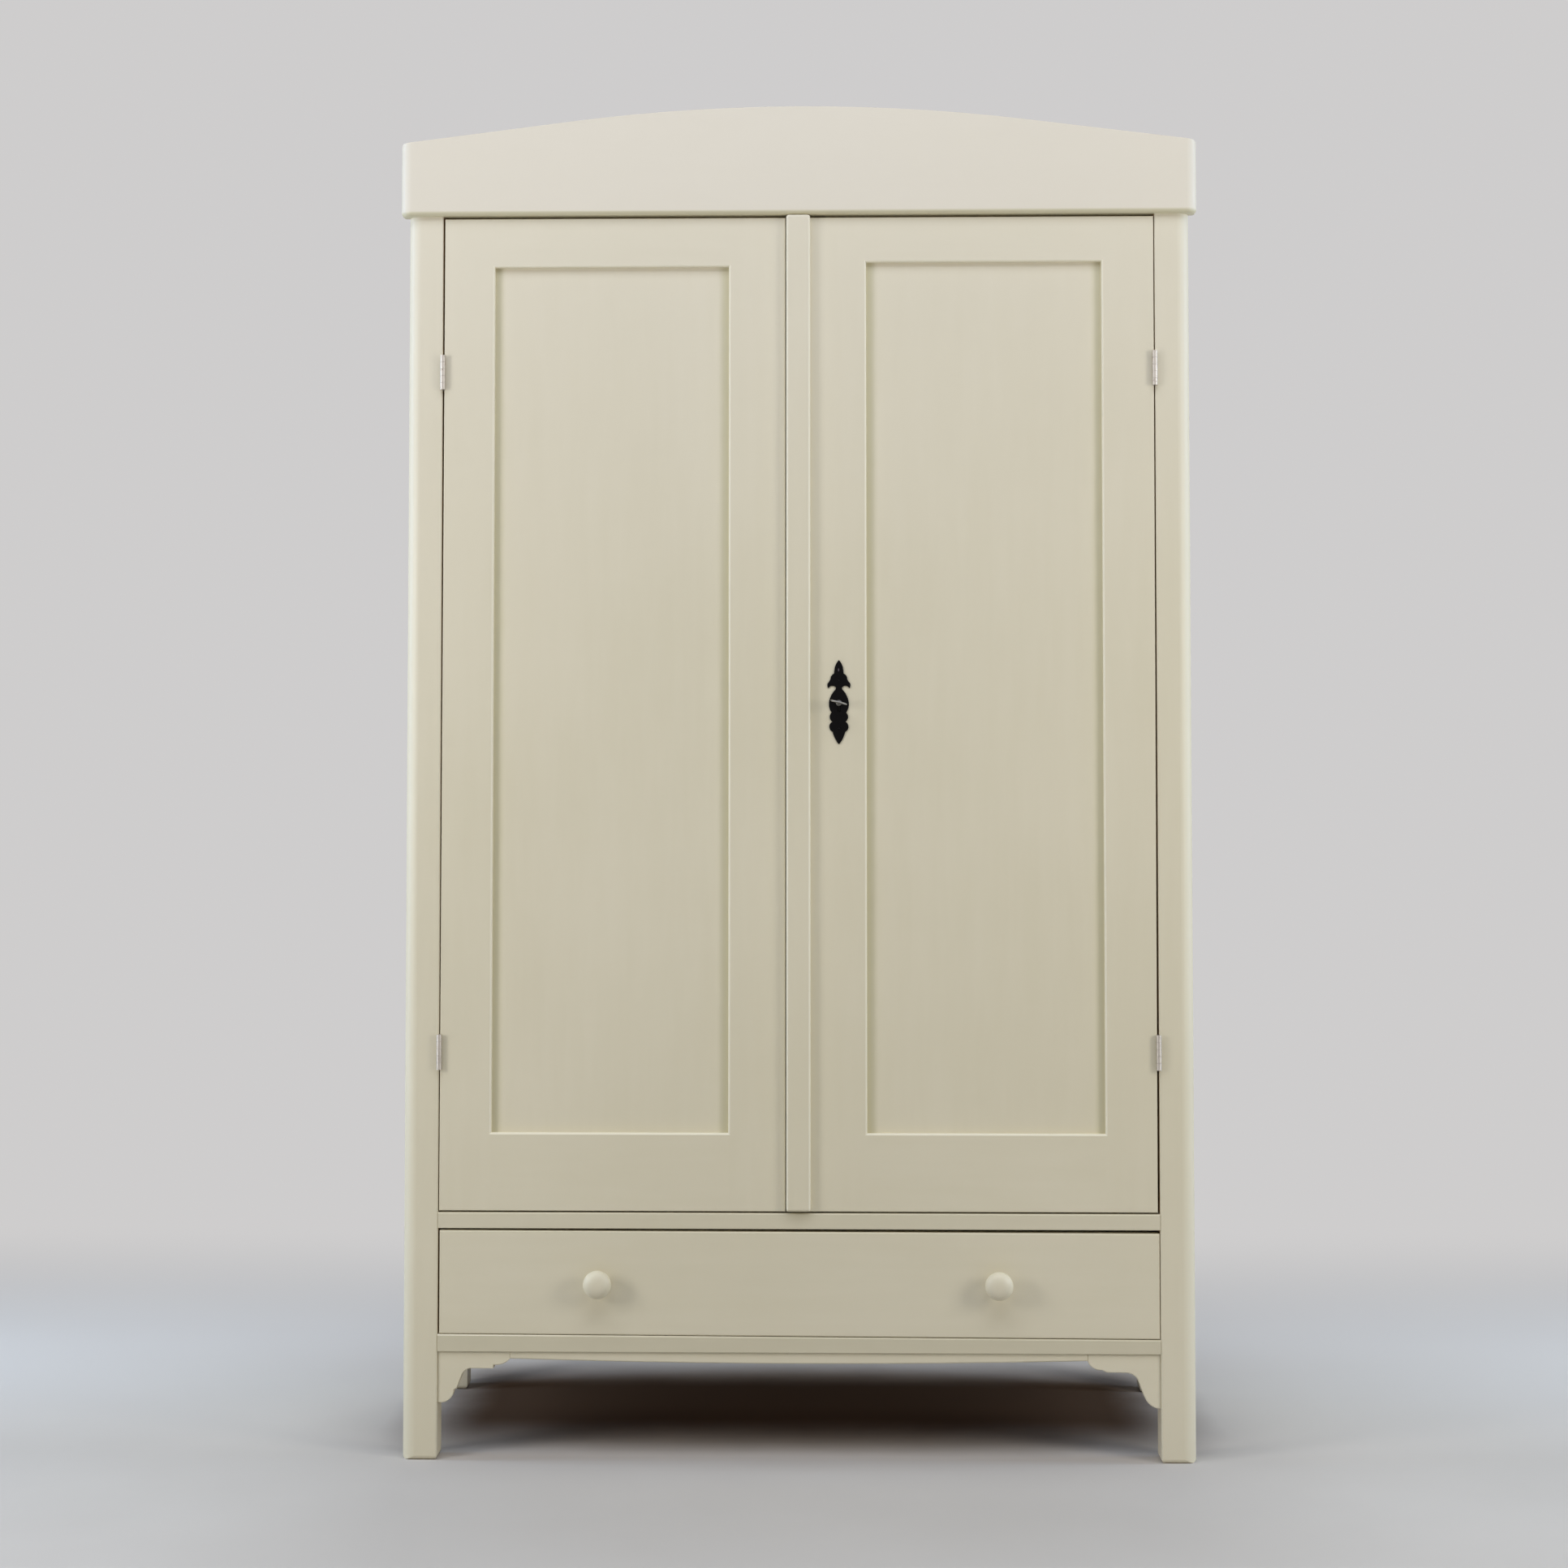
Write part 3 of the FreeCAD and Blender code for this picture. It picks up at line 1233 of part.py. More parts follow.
# ------------------------------------------------------------- assembly
def carcase_pieces():
    rails, front_tenons = front_rails()
    pieces = dict(rails)
    sides, side_tenons = side_rails()
    pieces.update(sides)
    rear, rear_tenons = rear_rails()
    pieces["rear_rails"] = rear
    pieces["front_top_rail"] = pieces["front_top_rail"].cut(flush_bolt_socket(1))
    mortises = [t for t in front_tenons if t.BoundBox.XMin > 0] + side_tenons
    right_post = front_post(mortises, hinge_z_right)
    left_post = mirrored(front_post(mortises, hinge_z_left))
    pieces["front_post_left"] = left_post
    pieces["front_post_right"] = right_post
    rear_upright = rear_post([t for t in rear_tenons if t.BoundBox.XMin > 0] + side_tenons)
    pieces["rear_post_left"] = mirrored(rear_upright)
    pieces["rear_post_right"] = rear_upright
    panel = side_panel(panel_tongue, 0)
    pieces["side_panel_left"] = mirrored(panel)
    pieces["side_panel_right"] = panel
    pieces["back_boards"] = back_boards()
    pieces["cabinet_floor"] = cabinet_floor()
    pieces["drawer_runners"], pieces["floor_bearers"] = drawer_bearings()
    pieces["roof_board"] = roof_board()
    pieces["crown_board"] = crown_board()
    pieces["crown_returns"] = crown_returns()
    pieces["crown_blocks"] = crown_blocks()
    pieces["apron_strip"] = apron_strip()
    pieces["bracket_left"] = left_bracket()
    pieces["bracket_right"] = right_bracket()
    pieces["shelf_racks"] = shelf_racks()
    pieces["shelf_bearers"] = shelf_bearers()
    pieces["shelves"] = shelves()
    leaves = [hinge_leaf(-1, -1, z, 0) for z in hinge_z_left]
    leaves += [hinge_leaf(1, 1, z, 0) for z in hinge_z_right]
    pieces["frame_hinge_leaves"] = group(leaves)
    pieces["hinge_pins"] = hinge_pins()
    screws = hinge_screws(-1, -1, hinge_z_left) + hinge_screws(1, 1, hinge_z_right)
    pieces["frame_hinge_screws"] = group([screw(*s) for s in screws])
    return pieces


def left_door_pieces():
    top_x = -hinge_x + left_gap_top
    bottom_x = -hinge_x + left_gap_bottom
    z_range = (door_bottom + panel_sill, door_top - left_top_rail)
    leaf = door(top_x, bottom_x, left_free_x, left_panel_x, z_range)
    leaf_screws = hinge_screws(-1, 1, hinge_z_left)
    tools = [leaf_recess(-hinge_x + hinge_leaf_gap, 1, z) for z in hinge_z_left]
    tools += [screw_hole(*s) for s in leaf_screws]
    other_screws = keeper_screws() + guide_screws(1) + guide_screws(-1)
    free = leaf["free"].cut([screw_hole(*s) for s in other_screws])
    return {"left_door_hinge_stile": leaf["hinge"].cut(tools),
            "left_door_lock_stile": free,
            "left_door_top_rail": leaf["top"],
            "left_door_bottom_rail": leaf["bottom"],
            "left_door_panel": leaf["panel"],
            "left_hinge_leaves": group([hinge_leaf(-1, 1, z, 1) for z in hinge_z_left]),
            "left_door_screws": group([screw(*s) for s in leaf_screws + other_screws]),
            "lock_keeper": lock_keeper(),
            "bolt_guides": group([flush_bolt_guide(1), flush_bolt_guide(-1)]),
            "door_bolt_top": flush_bolt(1),
            "door_bolt_bottom": flush_bolt(-1)}


def right_door_pieces():
    top_x = hinge_x - right_gap_top
    bottom_x = hinge_x - right_gap_bottom
    z_range = (door_bottom + panel_sill, door_top - right_top_rail)
    leaf = door(top_x, bottom_x, meeting_x, right_panel_x, z_range)
    leaf_screws = hinge_screws(1, -1, hinge_z_right)
    tools = [leaf_recess(hinge_x - hinge_leaf_gap, -1, z) for z in hinge_z_right]
    tools += [screw_hole(*s) for s in leaf_screws]
    lock_side = [keyhole(door_face - 1, door_back + 1)]
    lock_side += [nail_hole(drop) for drop in nail_drops]
    lock_side += [screw_hole(*s) for s in lock_screws()]
    return {"right_door_hinge_stile": leaf["hinge"].cut(tools),
            "right_door_lock_stile": leaf["free"].cut(lock_side),
            "right_door_top_rail": leaf["top"],
            "right_door_bottom_rail": leaf["bottom"],
            "right_door_panel": leaf["panel"],
            "right_hinge_leaves": group([hinge_leaf(1, -1, z, 1) for z in hinge_z_right]),
            "right_door_screws": group([screw(*s) for s in leaf_screws + lock_screws()]),
            "meeting_strip": meeting_strip(),
            "lock_case": lock_case(),
            "lock_bolt": lock_bolt(),
            "escutcheon": escutcheon(),
            "escutcheon_nails": escutcheon_nails(),
            "key": key()}


def drawer_pieces():
    return {"drawer_front": drawer_front(),
            "drawer_sides": group([drawer_side(-1), drawer_side(1)]),
            "drawer_back": drawer_back(),
            "drawer_bottom": drawer_bottom(),
            "drawer_knobs": group([drawer_knob(x) for x in (-knob_x, knob_x)]),
            "knob_screws": group([knob_screw(x) for x in (-knob_x, knob_x)])}


os.makedirs("parts", exist_ok=True)
all_pieces = {}
for maker in (carcase_pieces, left_door_pieces, right_door_pieces, drawer_pieces):
    all_pieces.update(maker())
for node, shape in all_pieces.items():
    shape.exportStep(os.path.join("parts", node + ".step"))
    print(node, len(shape.Solids), "solid(s)", "valid" if shape.isValid() else "NOT VALID",
          round(shape.Volume / 1000, 1), "cm3")
print(len(all_pieces), "nodes")
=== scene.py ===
# %% [markdown]
# # A painted two-door cupboard
# The joinery comes ready made as a frame of named nodes in metres: X runs to the right, Z up,
# and the doors face -Y. This lesson gives every node its finish, turns the knobs on a lathe,
# forges the key and the key plate, and sets the cupboard on a pale studio floor.
# %% Load the frame
import math

import bmesh
import bpy
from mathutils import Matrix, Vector


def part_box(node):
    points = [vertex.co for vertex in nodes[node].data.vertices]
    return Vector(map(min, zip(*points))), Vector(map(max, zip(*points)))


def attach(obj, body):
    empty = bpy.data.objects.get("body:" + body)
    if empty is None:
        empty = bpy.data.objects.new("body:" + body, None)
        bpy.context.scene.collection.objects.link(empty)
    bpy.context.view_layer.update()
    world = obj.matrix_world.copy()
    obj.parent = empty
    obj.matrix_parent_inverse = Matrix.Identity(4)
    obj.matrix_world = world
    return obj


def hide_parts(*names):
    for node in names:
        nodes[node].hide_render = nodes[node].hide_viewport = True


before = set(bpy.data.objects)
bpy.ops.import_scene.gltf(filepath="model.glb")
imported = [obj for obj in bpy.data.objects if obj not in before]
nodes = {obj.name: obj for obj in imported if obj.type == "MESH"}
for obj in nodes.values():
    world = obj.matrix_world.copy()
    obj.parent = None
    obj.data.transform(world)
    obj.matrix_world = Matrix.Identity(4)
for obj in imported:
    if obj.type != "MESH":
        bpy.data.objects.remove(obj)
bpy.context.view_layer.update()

# %% [markdown]
# ## The camera
# The cupboard is seen from a little over four metres away, at chest height and almost square on.
# A small downward shift of the lens keeps the upright lines nearly parallel, as a photographer
# does by lowering the back of a view camera. The numbers are metres and radians.
# %% Camera
camera_place = (0.0643, -4.2015, 0.9728)
camera_pitch = 0.0420
camera_yaw = 0.0216
picture_size = 1932
focal_pixels = 3202.0
principal_row = 870.0

camera_data = bpy.data.cameras.new("camera")
camera_data.sensor_width = 36.0
camera_data.lens = focal_pixels / picture_size * camera_data.sensor_width
camera_data.shift_y = (principal_row - picture_size / 2) / picture_size
camera = bpy.data.objects.new("camera", camera_data)
bpy.context.scene.collection.objects.link(camera)
camera.location = camera_place
camera.rotation_euler = (math.pi / 2 + camera_pitch, 0, camera_yaw)
bpy.context.scene.camera = camera
print("lens:", round(camera_data.lens, 1), "mm, shift:", round(camera_data.shift_y, 3))


# %% [markdown]
# ## Shader maths in plain Python
# A finish is worked out from numbers that change over the surface. A small class wraps a socket,
# so that an expression such as 1 - mask adds its Math nodes by itself. A recipe holds one
# material's nodes and has one method that adds any other node.
# %% Numbers that change over a surface
class Amount:
    """A number coming out of a node."""

    def __init__(self, recipe, socket):
        self.recipe = recipe
        self.socket = socket

    def math(self, operation, *others):
        sockets = dict(enumerate([self, *others]))
        return self.recipe.node("ShaderNodeMath", {"operation": operation}, sockets)

    def __add__(self, other):
        return self.math("ADD", other)

    __radd__ = __add__

    def __mul__(self, other):
        return self.math("MULTIPLY", other)

    __rmul__ = __mul__

    def __sub__(self, other):
        return self.math("SUBTRACT", other)

    def __rsub__(self, other):
        return (self * -1.0) + other

    def __truediv__(self, other):
        return self.math("DIVIDE", other)

    def band(self, low, high):
        """0 below low, 1 above high, and smooth between them."""
        settings = {"interpolation_type": "SMOOTHSTEP"}
        sockets = {"Value": self, "From Min": low, "From Max": high}
        return self.recipe.node("ShaderNodeMapRange", settings, sockets)


# %% One material's recipe
class Recipe:
    """One material and the nodes that feed its shader."""

    def __init__(self, name):
        self.material = bpy.data.materials.new(name)
        self.material.use_nodes = True
        self.tree = self.material.node_tree
        self.shader = self.tree.nodes["Principled BSDF"]
        self.place = self.node("ShaderNodeTexCoord", {}, {}, "Object")
        split = self.node("ShaderNodeSeparateXYZ", {}, {"Vector": self.place}, None)
        self.x, self.y, self.z = (Amount(self, split.outputs[i]) for i in range(3))

    def node(self, kind, settings, sockets, output=0):
        """Adds a node. settings come first, then values or links for its sockets."""
        made = self.tree.nodes.new(kind)
        for key, value in settings.items():
            if key == "stops":
                for stop, (where, colour) in zip(self.stops(made, len(value)), value):
                    stop.position = where
                    stop.color = (*colour, 1.0)
            else:
                setattr(made, key, value)
        for key, value in sockets.items():
            self.feed(made.inputs[key], value)
        return made if output is None else Amount(self, made.outputs[output])

    @staticmethod
    def stops(ramp_node, count):
        """The stops of a colour ramp, as many as asked for."""
        elements = ramp_node.color_ramp.elements
        while len(elements) < count:
            elements.new(1.0)
        return list(elements)

    def feed(self, socket, value):
        if isinstance(value, Amount):
            self.tree.links.new(value.socket, socket)
        elif isinstance(value, tuple) and len(value) == 3 and socket.type == "RGBA":
            socket.default_value = (*value, 1.0)
        else:
            socket.default_value = value

    def vector(self, x, y, z):
        return self.node("ShaderNodeCombineXYZ", {}, {"X": x, "Y": y, "Z": z})

    def noise(self, where, scale, detail=2.0, roughness=0.5):
        sockets = {"Vector": where, "Scale": scale, "Detail": detail, "Roughness": roughness}
        return self.node("ShaderNodeTexNoise", {}, sockets)

    def mix(self, share, first, second):
        """A colour between two colours."""
        sockets = {0: share, 6: first, 7: second}
        return self.node("ShaderNodeMix", {"data_type": "RGBA"}, sockets, 2)

    def blend(self, share, first, second):
        """A number between two numbers."""
        return self.node("ShaderNodeMix", {"data_type": "FLOAT"}, {0: share, 2: first, 3: second})

    def finish(self, colour, roughness, height):
        """Feeds the shader. height is in metres."""
        self.feed(self.shader.inputs["Base Color"], colour)
        self.feed(self.shader.inputs["Roughness"], roughness)
        relief = self.node("ShaderNodeBump", {}, {"Strength": 1.0, "Distance": 1.0, "Height": height})
        self.feed(self.shader.inputs["Normal"], relief)
        return self.material


# %% [markdown]
# ## Grain
# Brush strokes and wood fibres both run along a piece. A grain is written as three letters, such
# as "zxy": the axis along the fibres, the one across the face, and the one through the board.
# Every pattern after that is written once, for all directions.
# %% Coordinates along and across the grain
def along_grain(recipe, grain):
    """The place as (along, across, through), from the grain's three axes."""
    return [getattr(recipe, axis) for axis in grain]


def streaks(recipe, grain, fineness, length, detail=3.0):
    """Long thin noise: fineness streaks per metre, each about length times as long as wide."""
    along, across, through = along_grain(recipe, grain)
    where = recipe.vector(along * (1.0 / length), across, through)
    return recipe.noise(where, fineness, detail, 0.55)


# %% [markdown]
# ## Cream paint
# The cupboard wears a thick satin oil paint, laid on with a brush along each piece. It dries with
# fine furrows, a slight orange peel and a slow waviness that makes the sheen wander. Near a panel's
# sides and along the crown's lower edge it is painted darker and more olive, as painted shade, and on
# the arrises round the door openings, the meeting strip and the bottom rail it is painted paler, as
# a painted highlight. Towards the top the cupboard is painted paler and less yellow, a painted sheen.
# Colour, roughness and height come from the same few noises, so that they agree with each other.
# %% Cream paint
cream = (0.700, 0.643, 0.478)
cream_pale = (0.738, 0.680, 0.520)
cream_olive_shade = (0.590, 0.545, 0.345)
cream_highlight = (0.860, 0.810, 0.655)
cream_painted_sheen = (0.775, 0.720, 0.625)
cream_darker = (0.520, 0.475, 0.335)


def paint_coat(recipe, grain, *tints):
    """Colour, roughness and height of the paint. Each tint is a share and a colour."""
    furrows = streaks(recipe, grain, 420.0, 34.0)
    strokes = streaks(recipe, grain, 45.0, 9.0, 2.0)
    peel = recipe.noise(recipe.place, 700.0, 1.0)
    wave = recipe.noise(recipe.place, 9.0, 2.0)
    cloud = recipe.noise(recipe.place, 2.3, 3.0)
    fresh = (cloud * 0.75 + strokes * 0.25).band(0.30, 0.72)
    colour = recipe.mix(fresh, cream, cream_pale)
    # Painted sheen: the paint is painted paler and less yellow towards the top.
    colour = recipe.mix(recipe.z.band(1.0, 2.2) * 0.40, colour, cream_painted_sheen)
    for share, tint_colour in tints:
        colour = recipe.mix(share, colour, tint_colour)
    roughness = 0.42 + strokes * 0.08 + peel * 0.05 - cloud * 0.06
    height = furrows * 0.00003 + strokes * 0.00006 + peel * 0.00002 + wave * 0.0010
    return colour, roughness, height


# %% [markdown]
# ## Pine
# Nobody paints the inside: the boards there are planed pine that has darkened to honey. Growth
# rings are circles round a heart that lies below the board, so a board shows them as long
# arches. Knots are the dark cores of branches, and the fibres bend round them. In a row of boards
# each one gets its own heart by a random number from its place in the row.
# %% Bare pine
pine_stops = [(0.0, (0.520, 0.335, 0.160)), (0.55, (0.480, 0.290, 0.130)),
              (0.88, (0.330, 0.165, 0.060)), (1.0, (0.500, 0.310, 0.145))]
pine_fibre = (0.400, 0.225, 0.095)
knot_core = (0.115, 0.045, 0.018)
old_dust = (0.300, 0.215, 0.135)
ring_spacing = 0.0045


def pine_wood(recipe, grain, level=0.0, board=None):
    """Colour, roughness and height of a pine board.

    level is the height of its face along the third axis; board is (coordinate, width) in a row.
    """
    along, across, through = along_grain(recipe, grain)
    chance = 0.37
    shift = 0.0
    if board:
        number = (board[0] / board[1]).math("FLOOR")
        chance = recipe.node("ShaderNodeTexWhiteNoise", {"noise_dimensions": "1D"}, {"W": number})
        shift = chance * 3.1
        across = board[0] - (number + 0.5) * board[1]
    travel = along + shift
    knot_place = recipe.vector(travel * 2.6, across * 8.0 + shift, through * 4.0)
    knots = recipe.node("ShaderNodeTexVoronoi", {}, {"Vector": knot_place, "Scale": 1.0})
    knot = 1 - knots.band(0.055, 0.10)
    pull = 1 - knots.band(0.05, 0.42)
    sway = recipe.noise(recipe.vector(travel * 1.3, across * 3.0, through * 3.0), 2.0, 3.0) - 0.5
    heart = across + sway * 0.055 + pull * 0.018 + (chance - 0.5) * 0.06
    depth = through - level + 0.030 + travel * 0.008
    radius = (heart * heart + depth * depth).math("SQRT")
    ring = (radius / ring_spacing).math("FRACT")
    grain_colour = recipe.node("ShaderNodeValToRGB", {"stops": pine_stops}, {"Fac": ring})
    fibre = recipe.noise(recipe.vector(travel * 0.02, across, through), 900.0, 2.0)
    dust = recipe.noise(recipe.place, 3.5, 4.0).band(0.48, 0.75)
    colour = recipe.mix(dust * 0.45, grain_colour, old_dust)
    colour = recipe.mix(fibre * 0.35, colour, pine_fibre)
    colour = recipe.mix(knot * 0.92, colour, knot_core)
    roughness = 0.58 + fibre * 0.16 + dust * 0.10 - knot * 0.15
    height = fibre * 0.00014 + ring * 0.00005 + knot * 0.0003
    return colour, roughness, height


def bare_pine(name, grain, board_width=None):
    """Pine for one node. A node of several boards says how wide each of them is."""
    low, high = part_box(name)
    recipe = Recipe("pine_" + name)
    board = None
    if board_width:
        board = (getattr(recipe, grain[1]) - getattr(low, grain[1]), board_width)
    return recipe.finish(*pine_wood(recipe, grain, getattr(low, grain[2]), board))


# %% [markdown]
# ## Where the paint stops
# A painter covers what shows and turns the brush back at the first hidden edge. The bare places
# are given as boxes, each by its half width and its front: a point is bare when it lies closer to
# the middle than the half width and further back than the front. The paint's edge wanders a little.
# %% Paint with bare wood behind it
everywhere = 9.0
skin = 0.0004


def bare_share(recipe, boxes, bottom):
    """1 where the wood was left bare, 0 where it is painted, as everything is below the bottom."""
    wander = recipe.noise(recipe.place, 60.0, 2.0) * 0.0016 - 0.0008
    share = 0.0
    for half_width, front in boxes:
        inside = recipe.x.math("ABSOLUTE").math("LESS_THAN", half_width)
        behind = (recipe.y + wander).math("GREATER_THAN", front)
        share = (inside * behind).math("MAXIMUM", share)
    return share * (recipe.z + wander).math("GREATER_THAN", bottom)


def painted(name, grain, bare_boxes=(), bottom=0.0, edge=None, tone=None):
    """Cream paint, with pine showing inside the bare boxes and above their bottom.

    edge works out a tint from the recipe; tone is a tint for the whole piece.
    """
    recipe = Recipe(name)
    tints = [tone] if tone else []
    if edge:
        tints.append(edge(recipe))
    paint = paint_coat(recipe, grain, *tints)
    if not bare_boxes:
        return recipe.finish(*paint)
    wood = pine_wood(recipe, grain)
    share = bare_share(recipe, bare_boxes, bottom)
    colour = recipe.mix(share, paint[0], wood[0])
    roughness = recipe.blend(share, paint[1], wood[1])
    return recipe.finish(colour, roughness, recipe.blend(share, paint[2], wood[2]))


# %% [markdown]
# ## Steel and iron
# Hinges are rolled mild steel that has greyed in patches. The screws have turned slots and a brown
# bloom. The lock and bolts keep the dark skin of the mill. The key is worn dull bright by fingers.
# The key plate is forged iron under a black lacquer, with a small paler spot on its upper leaf as a
# painted glint.
# They are one recipe: two colours, a patchy bloom, fine scratches and a little hammering.
# %% The painted glint on the key plate
plate_low, plate_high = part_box("escutcheon")
glint_iron = (0.130, 0.108, 0.124)
glint_place = ((plate_low.x + plate_high.x) / 2 - 0.0005, plate_high.z - 0.0150)
glint_half_width = 0.0013
glint_half_height = 0.0032
# The painted glint's place on the plate.
print("rubbed spot at:", [round(v, 4) for v in glint_place])


# %% A recipe for metals
def metal(name, clean, bloom, bloom_share, roughness, hammer, metallic=1.0, specular=0.5, painted_highlight=None):
    """A metal of two colours. hammer is the dents' depth, the last argument the (x, z) of a painted
    glint.
    """
    recipe = Recipe(name)
    recipe.shader.inputs["Specular IOR Level"].default_value = specular
    patches = recipe.noise(recipe.place, 160.0, 5.0, 0.62).band(1 - bloom_share, 1.15 - bloom_share)
    scratches = streaks(recipe, "zxy", 2600.0, 18.0)
    dents = recipe.noise(recipe.place, 190.0, 1.0)
    colour = recipe.mix(patches, clean, bloom)
    # Painted glint: a small paler spot is painted on the plate.
    if painted_highlight:
        across = (recipe.x - painted_highlight[0]) * (1 / glint_half_width)
        along = (recipe.z - painted_highlight[1]) * (1 / glint_half_height)
        spot = 1 - (across * across + along * along).math("SQRT").band(0.3, 1.0)
        colour = recipe.mix(spot, colour, glint_iron)
    rough = roughness + patches * 0.22 + scratches * 0.08
    if metallic:
        recipe.feed(recipe.shader.inputs["Metallic"], metallic - patches * (metallic * 0.6))
    return recipe.finish(colour, rough, dents * hammer + scratches * 0.000006 + patches * 0.00002)


# %% The five metals
hinge_steel = metal("hinge_steel", (0.49, 0.45, 0.40), (0.28, 0.22, 0.165), 0.42, 0.46, 0.00008)
screw_steel = metal("screw_steel", (0.46, 0.44, 0.41), (0.22, 0.13, 0.07), 0.52, 0.38, 0.00004)
lock_steel = metal("lock_steel", (0.20, 0.19, 0.18), (0.16, 0.085, 0.045), 0.46, 0.42, 0.00012)
key_steel = metal("key_steel", (0.26, 0.255, 0.245), (0.13, 0.115, 0.095), 0.40, 0.38, 0.00006)
black_iron = metal("black_iron", (0.0035, 0.0030, 0.0032), (0.008, 0.006, 0.005), 0.40, 0.25, 0.00012,
                   metallic=0.0, specular=0.09, painted_highlight=glint_place)
print("metals:", [m.name for m in (hinge_steel, screw_steel, lock_steel, key_steel, black_iron)])

# %% [markdown]
# ## Which piece gets which finish
# A joiner cuts every piece so that the grain runs along its length, and the painter follows it
# with the brush. The places where the paint stops come from the frame itself: the posts' inner
# faces, the backs of the crown, rails and drawer front, and the inner side of everything at the
# sides.
# %% Where the painted pieces are
post_low, post_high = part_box("front_post_right")
rear_post_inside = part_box("rear_post_right")[0].x
side_low, side_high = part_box("side_panel_right")
side_middle = (side_low.x + side_high.x) / 2
crown_low, crown_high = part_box("crown_board")
strip_low, strip_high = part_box("meeting_strip")
apron_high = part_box("apron_strip")[1]
low_rail_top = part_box("bottom_rail")[1].z
door_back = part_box("right_door_lock_stile")[1].y
drawer_front_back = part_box("drawer_front")[1].y
foot_top = apron_high.z
brush_turn = 0.0012
brush_turn_apron = 0.0010
brush_reach_post = 0.0035
post_corner = 0.002

behind_posts = [(post_low.x + skin, post_low.y + brush_reach_post),
                (post_high.x - post_corner, post_high.y - skin)]
inside_rear_posts = [(rear_post_inside + skin, -everywhere)]
inside_sides = [(side_middle, -everywhere)]
print("the paint ends at:", [round(v, 4) for v in (post_low.x, rear_post_inside, side_middle)])


# %% Tints along an edge
def behind(y):
    """Bare from this depth backwards, over the whole width."""
    return [(everywhere, y)]


def rim(recipe, x0, x1, z0, z1):
    """How far a point lies inside a rectangle of the front; outside it is negative."""
    inside_x = (recipe.x - x0).math("MINIMUM", x1 - recipe.x)
    inside_z = (recipe.z - z0).math("MINIMUM", z1 - recipe.z)
    return inside_x.math("MINIMUM", inside_z)


def edge_share(inside, share, full, none):
    """This share of a tint up to one distance from an edge, and none of it beyond another."""
    return share - inside.band(full, none) * share


def strip_side_highlights(recipe):
    """Painted highlights along both sides of the meeting strip."""
    inside = rim(recipe, strip_low.x, strip_high.x, -everywhere, everywhere)
    return edge_share(inside, 0.8, 0.0016, 0.0032), cream_highlight


def rail_top_highlight(recipe):
    """A painted highlight along the top of the bottom rail, strongest on the left."""
    inside = rim(recipe, -everywhere, everywhere, -everywhere, low_rail_top)
    highlight_left = 1 - recipe.x.band(-0.10, 0.25)
    return edge_share(inside, 0.7, 0.0012, 0.0028) * highlight_left, cream_highlight


def crown_edge_shade(recipe):
    """Painted shade along the crown's lower rounded edge, darker and more olive."""
    inside = rim(recipe, -everywhere, everywhere, crown_low.z, everywhere)
    return edge_share(inside, 0.7, 0.003, 0.008), cream_olive_shade


# %% Painted pieces
knob_paint = painted("cream_knobs", "xzy")
strip_paint = painted("cream_strip", "zxy", edge=strip_side_highlights)
post_paint = painted("cream_posts", "zxy", behind_posts, bottom=foot_top)
rear_post_paint = painted("cream_rear_posts", "zxy", inside_rear_posts, bottom=foot_top)
side_panel_paint = painted("cream_side_panels", "zyx", inside_sides)
side_rail_paint = painted("cream_side_rails", "yzx", inside_sides)
# The crown is painted paler and less yellow, a painted sheen.
crown_paint = painted("cream_crown", "xzy", behind(crown_high.y - brush_turn), edge=crown_edge_shade,
                      tone=(0.55, cream_painted_sheen))
# The two lower rails are painted in a darker tone.
mid_rail_paint = painted("cream_mid_rail", "xzy", behind(door_back), tone=(0.22, cream_darker))
low_rail_paint = painted("cream_low_rail", "xzy", behind(door_back), edge=rail_top_highlight,
                         tone=(0.45, cream_darker))
drawer_paint = painted("cream_drawer", "xzy", behind(drawer_front_back - brush_turn))
bracket_paint = painted("cream_brackets", "xzy", behind(apron_high.y - brush_turn_apron))

finishes = [
    (post_paint, ["front_post_left", "front_post_right"]),
    (rear_post_paint, ["rear_post_left", "rear_post_right"]),
    (side_panel_paint, ["side_panel_left", "side_panel_right"]),
    (side_rail_paint, ["side_top_rails", "side_bottom_rails", "crown_returns"]),
    (crown_paint, ["crown_board"]),
    (mid_rail_paint, ["mid_rail"]),
    (low_rail_paint, ["bottom_rail"]),
    (drawer_paint, ["drawer_front"]),
    (bracket_paint, ["apron_strip", "bracket_left", "bracket_right"]),
    (strip_paint, ["meeting_strip"]),
    (knob_paint, ["drawer_knobs"]),
]
print("painted finishes:", len(finishes))
